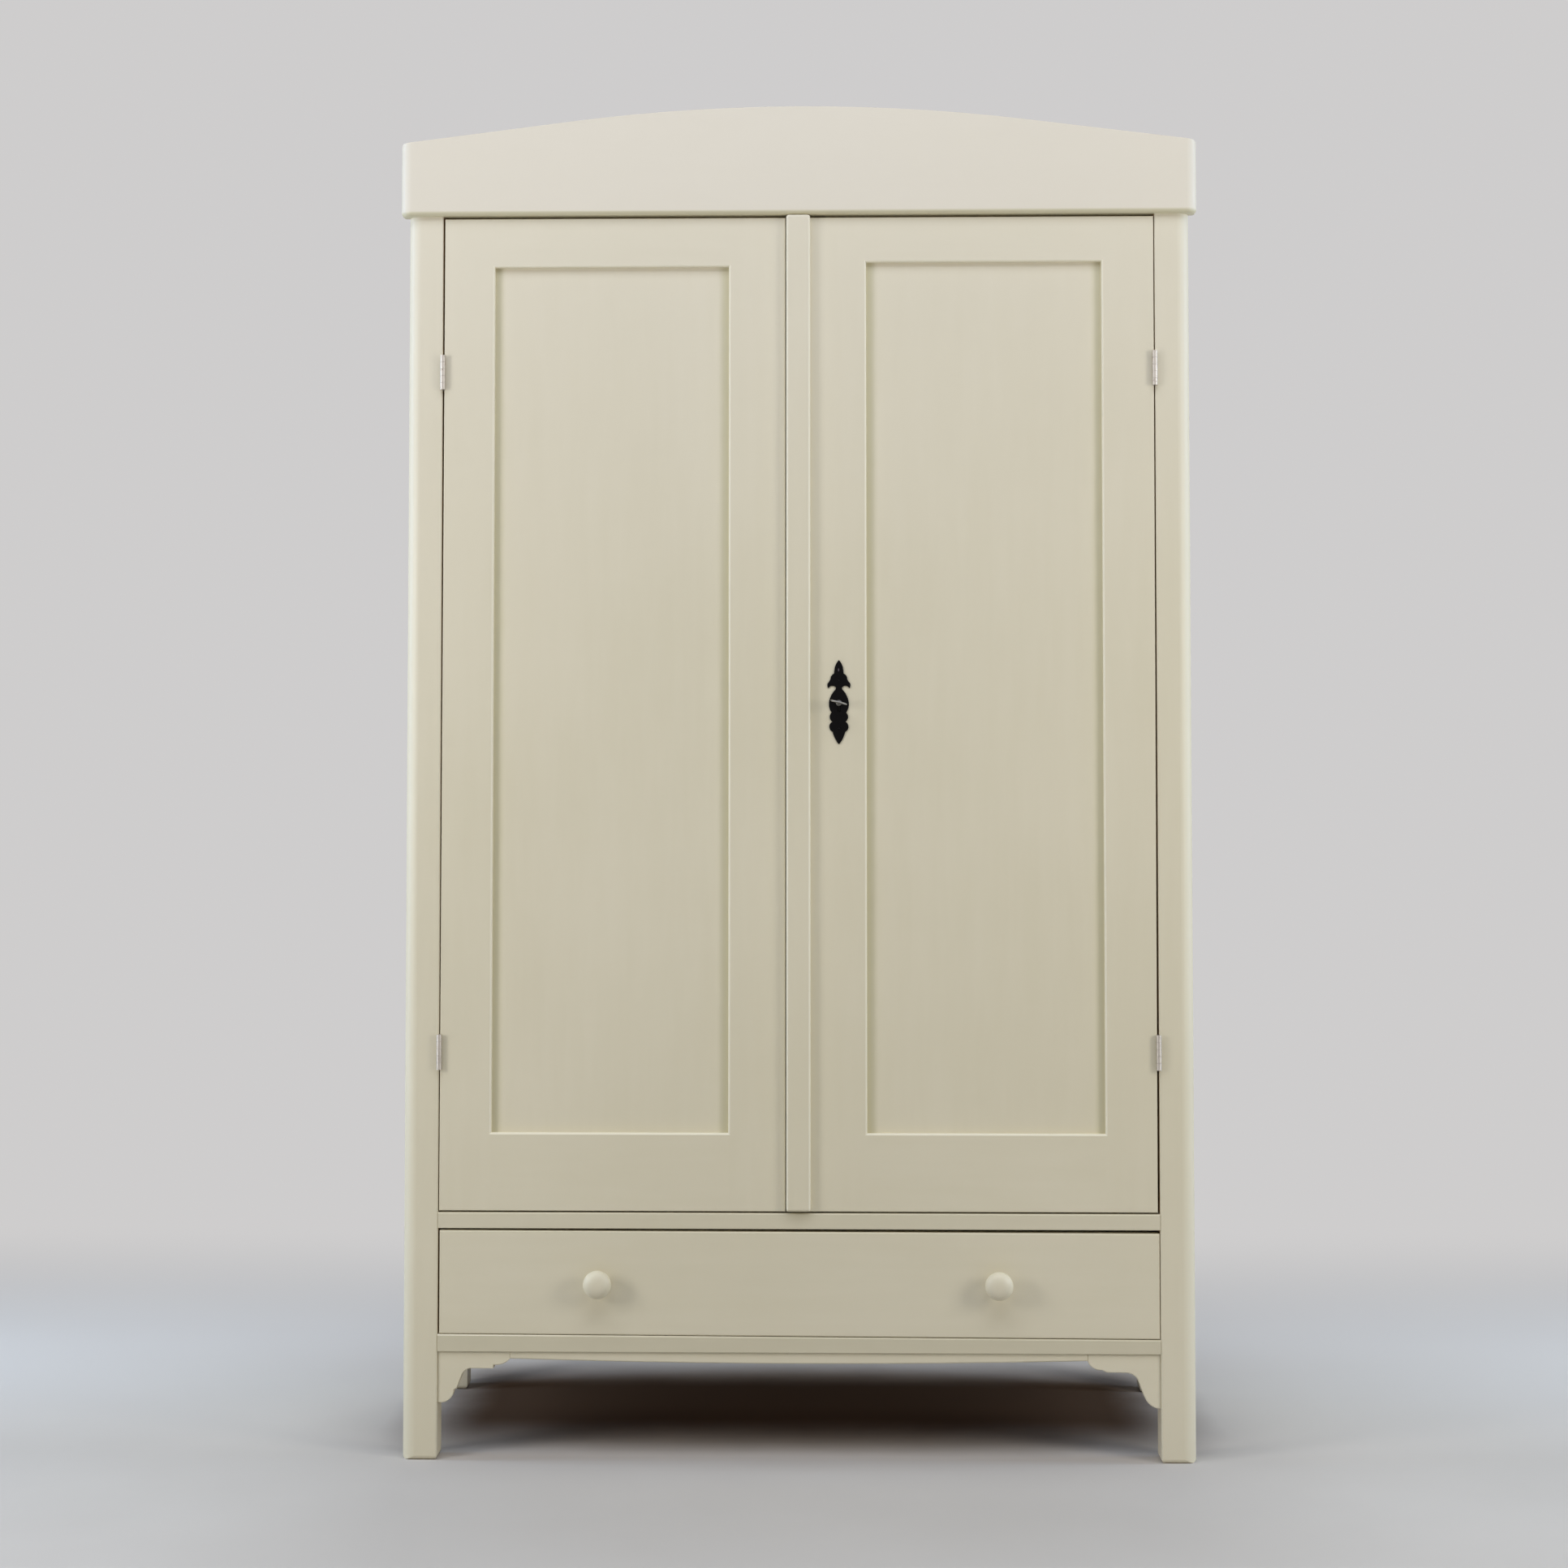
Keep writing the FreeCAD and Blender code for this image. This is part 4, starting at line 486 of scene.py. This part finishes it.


# %% [markdown]
# ## Doors
# Each panel is painted darker and more olive near its two sides, as painted shade in the recess,
# and the arris round the opening is painted paler, as a painted highlight. Both tints are worked out
# from the distance to that opening, whose four sides come from the frame of each door.
# %% Doors
def door_paints(side):
    """The finishes of one door: its panel, its stiles and its rails."""
    left, right = ("hinge", "lock") if side == "left" else ("lock", "hinge")
    x0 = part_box(f"{side}_door_{left}_stile")[1].x
    x1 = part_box(f"{side}_door_{right}_stile")[0].x
    z0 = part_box(f"{side}_door_bottom_rail")[1].z
    z1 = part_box(f"{side}_door_top_rail")[0].z

    # Painted shade: each panel is painted darker and more olive near its two sides.
    def panel_side_shade(recipe):
        ripple = recipe.noise(recipe.place, 25.0, 2.0) * 0.004
        inside = rim(recipe, x0, x1, -everywhere, everywhere) + ripple
        return edge_share(inside, 0.68, 0.006, 0.021), cream_olive_shade

    # Painted highlight: the arris round each opening is painted paler.
    def painted_highlight(recipe):
        outside = rim(recipe, x0, x1, z0, z1) * -1.0
        return edge_share(outside, 0.8, 0.0018, 0.0034), cream_highlight

    panel = painted(f"cream_{side}_panel", "zxy", edge=panel_side_shade)
    stile = painted(f"cream_{side}_stiles", "zxy", edge=painted_highlight)
    rail = painted(f"cream_{side}_rails", "xzy", edge=painted_highlight)
    return [(panel, [f"{side}_door_panel"]),
            (stile, [f"{side}_door_hinge_stile", f"{side}_door_lock_stile"]),
            (rail, [f"{side}_door_top_rail", f"{side}_door_bottom_rail"])]


finishes += door_paints("left") + door_paints("right")
print("painted nodes:", sum(len(names) for _, names in finishes))

# %% [markdown]
# ## Pine and metal pieces
# Back boards, shelves, racks and the drawer's box are bare pine. A shelf and the cupboard's floor
# are glued up from boards a hand wide. Every board gets its own heart, so no two are alike.
# %% Pine and metal
back_low, back_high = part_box("back_boards")
back_board_count = 8
back_board_width = (back_high.x - back_low.x) / back_board_count
glued_board_width = 0.125
pine_pieces = {
    "front_top_rail": ("xzy", None), "rear_rails": ("xzy", None), "drawer_back": ("xzy", None),
    "cabinet_floor": ("xyz", glued_board_width), "roof_board": ("xyz", glued_board_width),
    "shelves": ("xyz", glued_board_width), "drawer_bottom": ("xyz", glued_board_width),
    "floor_bearers": ("yxz", None), "drawer_runners": ("yxz", None), "shelf_bearers": ("yzx", None),
    "drawer_sides": ("yzx", None), "back_boards": ("zxy", back_board_width),
    "shelf_racks": ("zyx", None), "crown_blocks": ("zxy", None),
}
for name, (grain, board_width) in pine_pieces.items():
    finishes.append((bare_pine(name, grain, board_width), [name]))
finishes += [
    (hinge_steel, ["frame_hinge_leaves", "hinge_pins", "left_hinge_leaves", "right_hinge_leaves"]),
    (screw_steel, ["frame_hinge_screws", "left_door_screws", "right_door_screws", "knob_screws"]),
    (lock_steel, ["lock_case", "lock_bolt", "lock_keeper", "bolt_guides", "door_bolt_top",
                  "door_bolt_bottom"]),
    (black_iron, ["escutcheon", "escutcheon_nails"]),
    (key_steel, ["key"]),
]
print("finishes:", len(finishes))


# %% Dressing the nodes
def dress(piece, material):
    """Gives a piece one material all over."""
    piece.data.materials.clear()
    piece.data.materials.append(material)


dressed = set()
for material, names in finishes:
    for name in names:
        dress(nodes[name], material)
        dressed.add(name)
print("dressed:", len(dressed), "left bare:", sorted(set(nodes) - dressed))


# %% [markdown]
# ## Helpers for modelling by hand
# Every operator acts on what is selected, so each piece starts from nothing selected. A finished
# piece keeps its place in its mesh and its object at the origin, as the nodes do.
# %% Selecting and closing
def only(piece):
    """Selects one object and makes it the active one."""
    bpy.ops.object.select_all(action="DESELECT")
    piece.select_set(True)
    bpy.context.view_layer.objects.active = piece


def edit(piece, mode="VERT"):
    """Opens a piece for editing with everything selected."""
    only(piece)
    bpy.ops.object.mode_set(mode="EDIT")
    bpy.ops.mesh.select_mode(type=mode)
    bpy.ops.mesh.select_all(action="SELECT")


def close(piece, smooth_angle=40.0):
    """Leaves edit mode, applies modifiers and place, and smooths the shading."""
    if bpy.context.mode == "EDIT_MESH":
        bpy.ops.object.mode_set(mode="OBJECT")
    only(piece)
    for modifier in list(piece.modifiers):
        bpy.ops.object.modifier_apply(modifier=modifier.name)
    bpy.ops.object.transform_apply(location=True, rotation=True, scale=True)
    bpy.ops.object.shade_smooth_by_angle(angle=math.radians(smooth_angle))
    return piece


def stand_for(piece, node, body, material):
    """Dresses a piece and puts it in a node's place."""
    dress(piece, material)
    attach(piece, body)
    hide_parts(node)


# %% Lines, lathe work and copies
merge_gap = 1e-6


def drawn_line(name, points):
    """A line of edges through the points, left open in edit mode with all of it selected."""
    bpy.ops.object.select_all(action="DESELECT")
    bpy.ops.mesh.primitive_plane_add(size=0.01)
    piece = bpy.context.object
    piece.name = name
    edit(piece)
    bpy.ops.mesh.merge(type="CENTER")
    here = Vector((0, 0, 0))
    for index, point in enumerate(points):
        step = Vector(point) - here
        here = Vector(point)
        if index == 0:
            bpy.ops.transform.translate(value=step)
        else:
            bpy.ops.mesh.extrude_vertices_move(TRANSFORM_OT_translate={"value": step})
    bpy.ops.mesh.select_all(action="SELECT")
    return piece


def turn_on_lathe(name, profile, steps=48):
    """A turned piece about the Y axis. profile is (radius, y) from one end to the other."""
    piece = drawn_line(name, [(radius, y, 0) for radius, y in profile])
    bpy.ops.mesh.spin(steps=steps, angle=2 * math.pi, center=(0, 0, 0), axis=(0, 1, 0))
    bpy.ops.mesh.select_all(action="SELECT")
    bpy.ops.mesh.remove_doubles(threshold=merge_gap)
    bpy.ops.mesh.normals_make_consistent(inside=False)
    bpy.ops.object.mode_set(mode="OBJECT")
    return piece


def moved_copy(piece, name, offset):
    """A copy with its own mesh, moved by an offset."""
    only(piece)
    bpy.ops.object.duplicate()
    copy = bpy.context.object
    copy.name = name
    copy.location = offset
    return close(copy)


# %% [markdown]
# ## Turned knobs
# Each drawer knob was turned from one block: a small foot against the drawer, a slim neck for the
# fingers, and a round head with a low dome. The profile is drawn once and spun, and subdivision
# makes the dome soft, as paint over turned wood is.
# %% Turned knobs
knob_low, knob_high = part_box("drawer_knobs")
knob_radius = (knob_high.z - knob_low.z) / 2
knob_length = knob_high.y - knob_low.y
knob_out = knob_high.x - knob_radius
knob_profile = [(0.0, 0.0), (0.30, 0.006), (0.62, 0.045), (0.86, 0.14), (0.975, 0.27), (1.0, 0.40),
                (0.97, 0.49), (0.84, 0.57), (0.62, 0.625), (0.46, 0.66), (0.405, 0.72),
                (0.405, 0.80), (0.44, 0.86), (0.55, 0.90), (0.56, 0.955), (0.56, 1.0), (0.0, 1.0)]
knob_points = [(share * knob_radius, knob_low.y + depth * knob_length)
               for share, depth in knob_profile]
knob_left = turn_on_lathe("knob_left", knob_points)
knob_left.modifiers.new("soft", "SUBSURF").levels = 2
knob_left.location = (-knob_out, 0, (knob_low.z + knob_high.z) / 2)
close(knob_left, 50.0)
knob_right = moved_copy(knob_left, "knob_right", (2 * knob_out, 0, 0))
for knob in (knob_left, knob_right):
    stand_for(knob, "drawer_knobs", "drawer", knob_paint)
print("knobs:", len(knob_left.data.polygons), "faces each, radius", round(knob_radius, 4))


# %% [markdown]
# ## Filed and worn edges
# The key plate is sawn from sheet iron and its edge is filed round, and the sawn edges of the
# corner brackets are rubbed soft before painting. Both come from the flat shape in the frame: a
# merged copy gets a narrow border all round its front face, and the outline is then pushed back.
# %% Plate and brackets
def soft_front(node, name, width, fall):
    """A copy of a node whose front outline is eased by this width and fall."""
    piece = bpy.data.objects.new(name, nodes[node].data.copy())
    bpy.context.scene.collection.objects.link(piece)
    edit(piece, "FACE")
    bpy.ops.mesh.customdata_custom_splitnormals_clear()
    bpy.ops.mesh.remove_doubles(threshold=merge_gap)
    bpy.ops.mesh.select_all(action="DESELECT")
    shape = bmesh.from_edit_mesh(piece.data)
    front = min(v.co.y for v in shape.verts)
    for face in shape.faces:
        face.select = face.normal.y < -0.9 and abs(face.calc_center_median().y - front) < 1e-5
    shape.select_flush_mode()
    bmesh.update_edit_mesh(piece.data)
    outline = {tuple(v.co) for e in shape.edges for v in e.verts
               if e.select and sum(f.select for f in e.link_faces) == 1}
    bpy.ops.mesh.inset(thickness=width, use_even_offset=False)
    bpy.ops.mesh.select_mode(type="VERT")
    bpy.ops.mesh.select_all(action="DESELECT")
    shape = bmesh.from_edit_mesh(piece.data)
    for vertex in shape.verts:
        vertex.select = tuple(vertex.co) in outline
    shape.select_flush_mode()
    bmesh.update_edit_mesh(piece.data)
    bpy.ops.transform.translate(value=(0, fall, 0))
    return close(piece, 30.0)


plate = soft_front("escutcheon", "key_plate", 0.0007, 0.0007)
stand_for(plate, "escutcheon", "right_door", black_iron)
for side in ("left", "right"):
    name = f"bracket_{side}"
    soft = soft_front(name, name + "_sawn", 0.0012, 0.0012)
    stand_for(soft, name, "carcase", bracket_paint)
print("key plate:", len(plate.data.polygons), "faces, bracket:", len(soft.data.polygons))

# %% [markdown]
# ## Nails of the key plate
# Two round-headed iron nails hold the plate. Each is turned as one piece, a low dome and a shank.
# %% Nails
nail_low, nail_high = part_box("escutcheon_nails")
nail_radius = (nail_high.x - nail_low.x) / 2
dome = plate_low.y - nail_low.y
nail_profile = [(0, 0), (0.35, 0.04), (0.66, 0.18), (0.88, 0.45), (0.98, 0.78), (1.0, 1.0)]
nail_points = [(share * nail_radius, nail_low.y + depth * dome) for share, depth in nail_profile]
nail_points += [(nail_radius / 2, nail_low.y + dome), (nail_radius / 2, nail_high.y - dome),
                (0, nail_high.y)]
nail_x = (nail_low.x + nail_high.x) / 2
for name, z in (("nail_low", nail_low.z + nail_radius), ("nail_high", nail_high.z - nail_radius)):
    nail = turn_on_lathe(name, nail_points, 24)
    nail.location = (nail_x, 0, z)
    close(nail, 50.0)
    stand_for(nail, "escutcheon_nails", "right_door", black_iron)
print("nails: radius", round(nail_radius, 4), "dome", round(dome, 4))

# %% [markdown]
# ## The forged key
# A smith draws out a round shank, upsets a collar on it, bends the bow into an oval and brazes on
# the bit. The bow is a ring of oval section, the shank and collar are one turned line, and the bit
# is a flat piece with a slot filed for the ward. It is modelled lying flat and level, with its
# shank along Y, and then tipped by the few degrees that it hangs off level in the door.
# %% Sizes of the key
key_low, key_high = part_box("key")
key_middle = (key_low + key_high) / 2
key_tilt = math.radians(15.0)
bow_half_width = 0.0130
bow_half_length = 0.0100
bow_wire = 0.0031
bow_thickness = 0.0031
shank_radius = 0.0030
collar_radius = 0.0046
bit_root = 0.0015
bit_reach = 0.0125
bit_thickness = 0.0026
bit_start = key_low.y + 0.0585
bit_end = bit_start + 0.0050
ward_near = 0.0075
ward_far = 0.0094
ward_end = bit_start + 0.00225
print("key:", round(key_high.y - key_low.y, 4), "long")

# %% Bow
bpy.ops.object.select_all(action="DESELECT")
bpy.ops.mesh.primitive_torus_add(major_segments=56, minor_segments=18,
                                 major_radius=bow_half_width - bow_wire, minor_radius=bow_wire)
bow = bpy.context.object
bow.scale = (1.0, bow_half_length / bow_half_width, bow_thickness / (2 * bow_wire))
bow.location = (0, key_low.y + bow_half_length, 0)
close(bow)
print("bow:", [round(v, 4) for v in bow.dimensions])

# %% Shank and collar
shank_profile = [(0.0, 0.0170), (0.0022, 0.0172), (0.0029, 0.0186), (shank_radius, 0.0205),
                 (shank_radius, 0.0276), (0.0041, 0.0284), (collar_radius, 0.0293),
                 (collar_radius, 0.0303), (0.0041, 0.0310), (shank_radius, 0.0313),
                 (shank_radius, 0.0692), (0.0022, 0.0700), (0.0, 0.0700)]
shank = turn_on_lathe("shank", [(radius, key_low.y + y) for radius, y in shank_profile], 32)
close(shank)
print("shank:", len(shank.data.polygons), "faces")

# %% Bit
bit_outline = [(bit_root, bit_start), (ward_near, bit_start), (ward_near, ward_end),
               (ward_far, ward_end), (ward_far, bit_start), (bit_reach, bit_start),
               (bit_reach, bit_end), (bit_root, bit_end)]
bit = drawn_line("bit", [(x, y, -bit_thickness / 2) for x, y in bit_outline])
bpy.ops.mesh.edge_face_add()
bpy.ops.mesh.extrude_region_move(TRANSFORM_OT_translate={"value": (0, 0, bit_thickness)})
bpy.ops.mesh.select_all(action="SELECT")
bpy.ops.mesh.normals_make_consistent(inside=False)
bpy.ops.mesh.bevel(offset=0.0002, segments=2)
close(bit)
print("bit:", len(bit.data.polygons), "faces")

# %% One key, hung in the door
only(shank)
bow.select_set(True)
bit.select_set(True)
bpy.ops.object.join()
key = shank
key.name = "forged_key"
key.rotation_euler = (0, key_tilt, 0)
key.location = (key_middle.x, 0, key_middle.z)
close(key)
stand_for(key, "key", "key", key_steel)
print("key:", len(key.data.polygons), "faces, tilt", round(math.degrees(key_tilt)), "degrees")

# %% [markdown]
# ## Studio
# A wide soft lamp hangs high in front of the cupboard, as a tall window would light it, so the
# crown is lightest and the feet are in gentle shade. A lamp on each side of the camera throws the
# soft shades beside every knob, frame and strip. Two narrow cool lamps stand in line with the
# doors and draw the light line down each rounded post, and a lamp behind lights the back boards.
#
# The floor is dull concrete, so it mirrors nothing. Under the cupboard it is painted almost black, a
# painted shadow, and just before it a little darker, a painted shadow too. Behind the cupboard it is
# painted paler, painted light where the cupboard's shadow falls, and further off it fades into the
# background: there it glows in the background's own grey, but only for the camera and for mirror
# images, so that it throws no light on the cupboard.
# %% Floor colours, and where they begin and end, in metres
backdrop_grey = (0.62, 0.61, 0.61)
floor_grey = (0.578, 0.546, 0.506)
floor_grey_pale = (0.634, 0.602, 0.562)
floor_painted_light = (0.930, 0.900, 0.862)
floor_painted_shadow = (0.098, 0.065, 0.045)
floor_radius = 30.0
fade_round = (1.8, 4.2)
fade_behind = (0.3, 2.0)
painted_light_behind = (-0.3, 0.7)
shadow_under_sides = (0.50, 0.70)
shadow_under_front = (-0.30, 0.04)
shadow_under_back = (0.26, 0.53)
shadow_front_sides = (0.3, 0.9)
shadow_front_depth = (-1.1, -0.5)
shadow_front_share = 0.16
ragged_edge = 0.04
print("floor colours:", floor_grey, floor_grey_pale, floor_painted_light, floor_painted_shadow)

# %% Floor
bpy.ops.object.select_all(action="DESELECT")
bpy.ops.mesh.primitive_circle_add(vertices=96, radius=floor_radius, fill_type="NGON",
                                  location=(0, 0, 0))
floor = close(bpy.context.object)
floor.name = "studio_floor"
recipe = Recipe("studio_floor")
recipe.shader.inputs["Specular IOR Level"].default_value = 0.0
reach = (recipe.x * recipe.x + recipe.y * recipe.y).math("SQRT")
fade = reach.band(*fade_round).math("MAXIMUM", recipe.y.band(*fade_behind))
mottle = recipe.noise(recipe.place, 3.0, 5.0)
ragged = recipe.noise(recipe.place, 7.0, 3.0) * ragged_edge - ragged_edge / 2
aside = recipe.x.math("ABSOLUTE") + ragged
depth = recipe.y + ragged
# Painted shadow: the floor under the cupboard is painted almost black.
painted_shadow_under = (1 - aside.band(*shadow_under_sides)) * depth.band(*shadow_under_front) * (1 - depth.band(*shadow_under_back))
# Painted shadow: the floor just before the cupboard is painted a little darker.
before = (1 - aside.band(*shadow_front_sides)) * depth.band(*shadow_front_depth) * shadow_front_share
concrete = recipe.mix(mottle, floor_grey, floor_grey_pale)
# Painted light: the floor behind the cupboard is painted paler, where its shadow falls.
concrete = recipe.mix(recipe.y.band(*painted_light_behind), concrete, floor_painted_light)
concrete = recipe.mix(painted_shadow_under.math("MAXIMUM", before), concrete, floor_painted_shadow)
recipe.finish(concrete, 0.5 + mottle * 0.15, mottle * 0.001)
glow = recipe.node("ShaderNodeEmission", {}, {"Color": backdrop_grey, "Strength": 1.0})
ray = recipe.node("ShaderNodeLightPath", {}, {}, None).outputs
shown = Amount(recipe, ray["Is Camera Ray"]) + Amount(recipe, ray["Is Glossy Ray"])
base = Amount(recipe, recipe.shader.outputs[0])
share = fade * shown.math("MINIMUM", 1.0)
surface = recipe.node("ShaderNodeMixShader", {}, {0: share, 1: base, 2: glow})
recipe.feed(recipe.tree.nodes["Material Output"].inputs["Surface"], surface)
dress(floor, recipe.material)
print("floor:", 2 * floor_radius, "m across")

# %% Background
sky_tint = (0.93, 0.96, 1.0)
sky_strength = 0.05
world = bpy.data.worlds.new("studio")
world.use_nodes = True
bpy.context.scene.world = world
ambient = world.node_tree.nodes["Background"]
ambient.inputs["Color"].default_value = (*sky_tint, 1.0)
ambient.inputs["Strength"].default_value = sky_strength
path = world.node_tree.nodes.new("ShaderNodeLightPath")
wall = world.node_tree.nodes.new("ShaderNodeBackground")
wall.inputs["Color"].default_value = (*backdrop_grey, 1.0)
choose = world.node_tree.nodes.new("ShaderNodeMixShader")
either = world.node_tree.nodes.new("ShaderNodeMath")
either.operation = "MAXIMUM"
link = world.node_tree.links.new
link(path.outputs["Is Camera Ray"], either.inputs[0])
link(path.outputs["Is Glossy Ray"], either.inputs[1])
link(either.outputs[0], choose.inputs[0])
link(ambient.outputs[0], choose.inputs[1])
link(wall.outputs[0], choose.inputs[2])
link(choose.outputs[0], world.node_tree.nodes["World Output"].inputs["Surface"])
print("background:", backdrop_grey)


# %% Lamps
def soft_lamp(name, place, aim, width, height, power, colour):
    """A rectangular soft lamp at a place, turned to its aim."""
    data = bpy.data.lights.new(name, "AREA")
    data.shape = "RECTANGLE"
    data.size, data.size_y = width, height
    data.energy = power
    data.color = colour
    lamp = bpy.data.objects.new(name, data)
    bpy.context.scene.collection.objects.link(lamp)
    lamp.location = place
    lamp.rotation_euler = (Vector(aim) - Vector(place)).to_track_quat("-Z", "Y").to_euler()
    return lamp


# name: (place, aim, width, height, watts, colour)
lamps = {
    "high_lamp": ((-0.1, -2.0, 3.7), (0, 0, 1.0), 4.4, 1.8, 68, (0.92, 0.965, 1.07)),
    "left_lamp": ((-2.5, -1.8, 1.4), (-0.3, -0.2, 1.0), 0.8, 1.3, 30, (0.99, 0.975, 0.965)),
    "right_lamp": ((2.5, -1.8, 1.4), (0.3, -0.2, 1.0), 0.8, 1.3, 27, (1.0, 0.965, 0.90)),
    "left_edge_lamp": ((-2.8, -0.2, 1.5), (-0.6, -0.2, 1.0), 0.5, 2.4, 25, (0.70, 0.93, 1.24)),
    "right_edge_lamp": ((2.8, -0.2, 1.55), (0.6, -0.2, 1.0), 0.5, 2.4, 25, (0.72, 0.93, 1.22)),
    "back_lamp": ((0.3, 3.6, 2.4), (0, 0.3, 1.0), 2.6, 1.6, 32, (0.97, 0.985, 1.0)),
}
for name, settings in lamps.items():
    soft_lamp(name, *settings)
print("lamps:", len(lamps))

# %% [markdown]
# ## Finish
# The view transform stays plain, so that a colour renders as it is written.
# %% Finish
bpy.context.scene.view_settings.view_transform = "Standard"
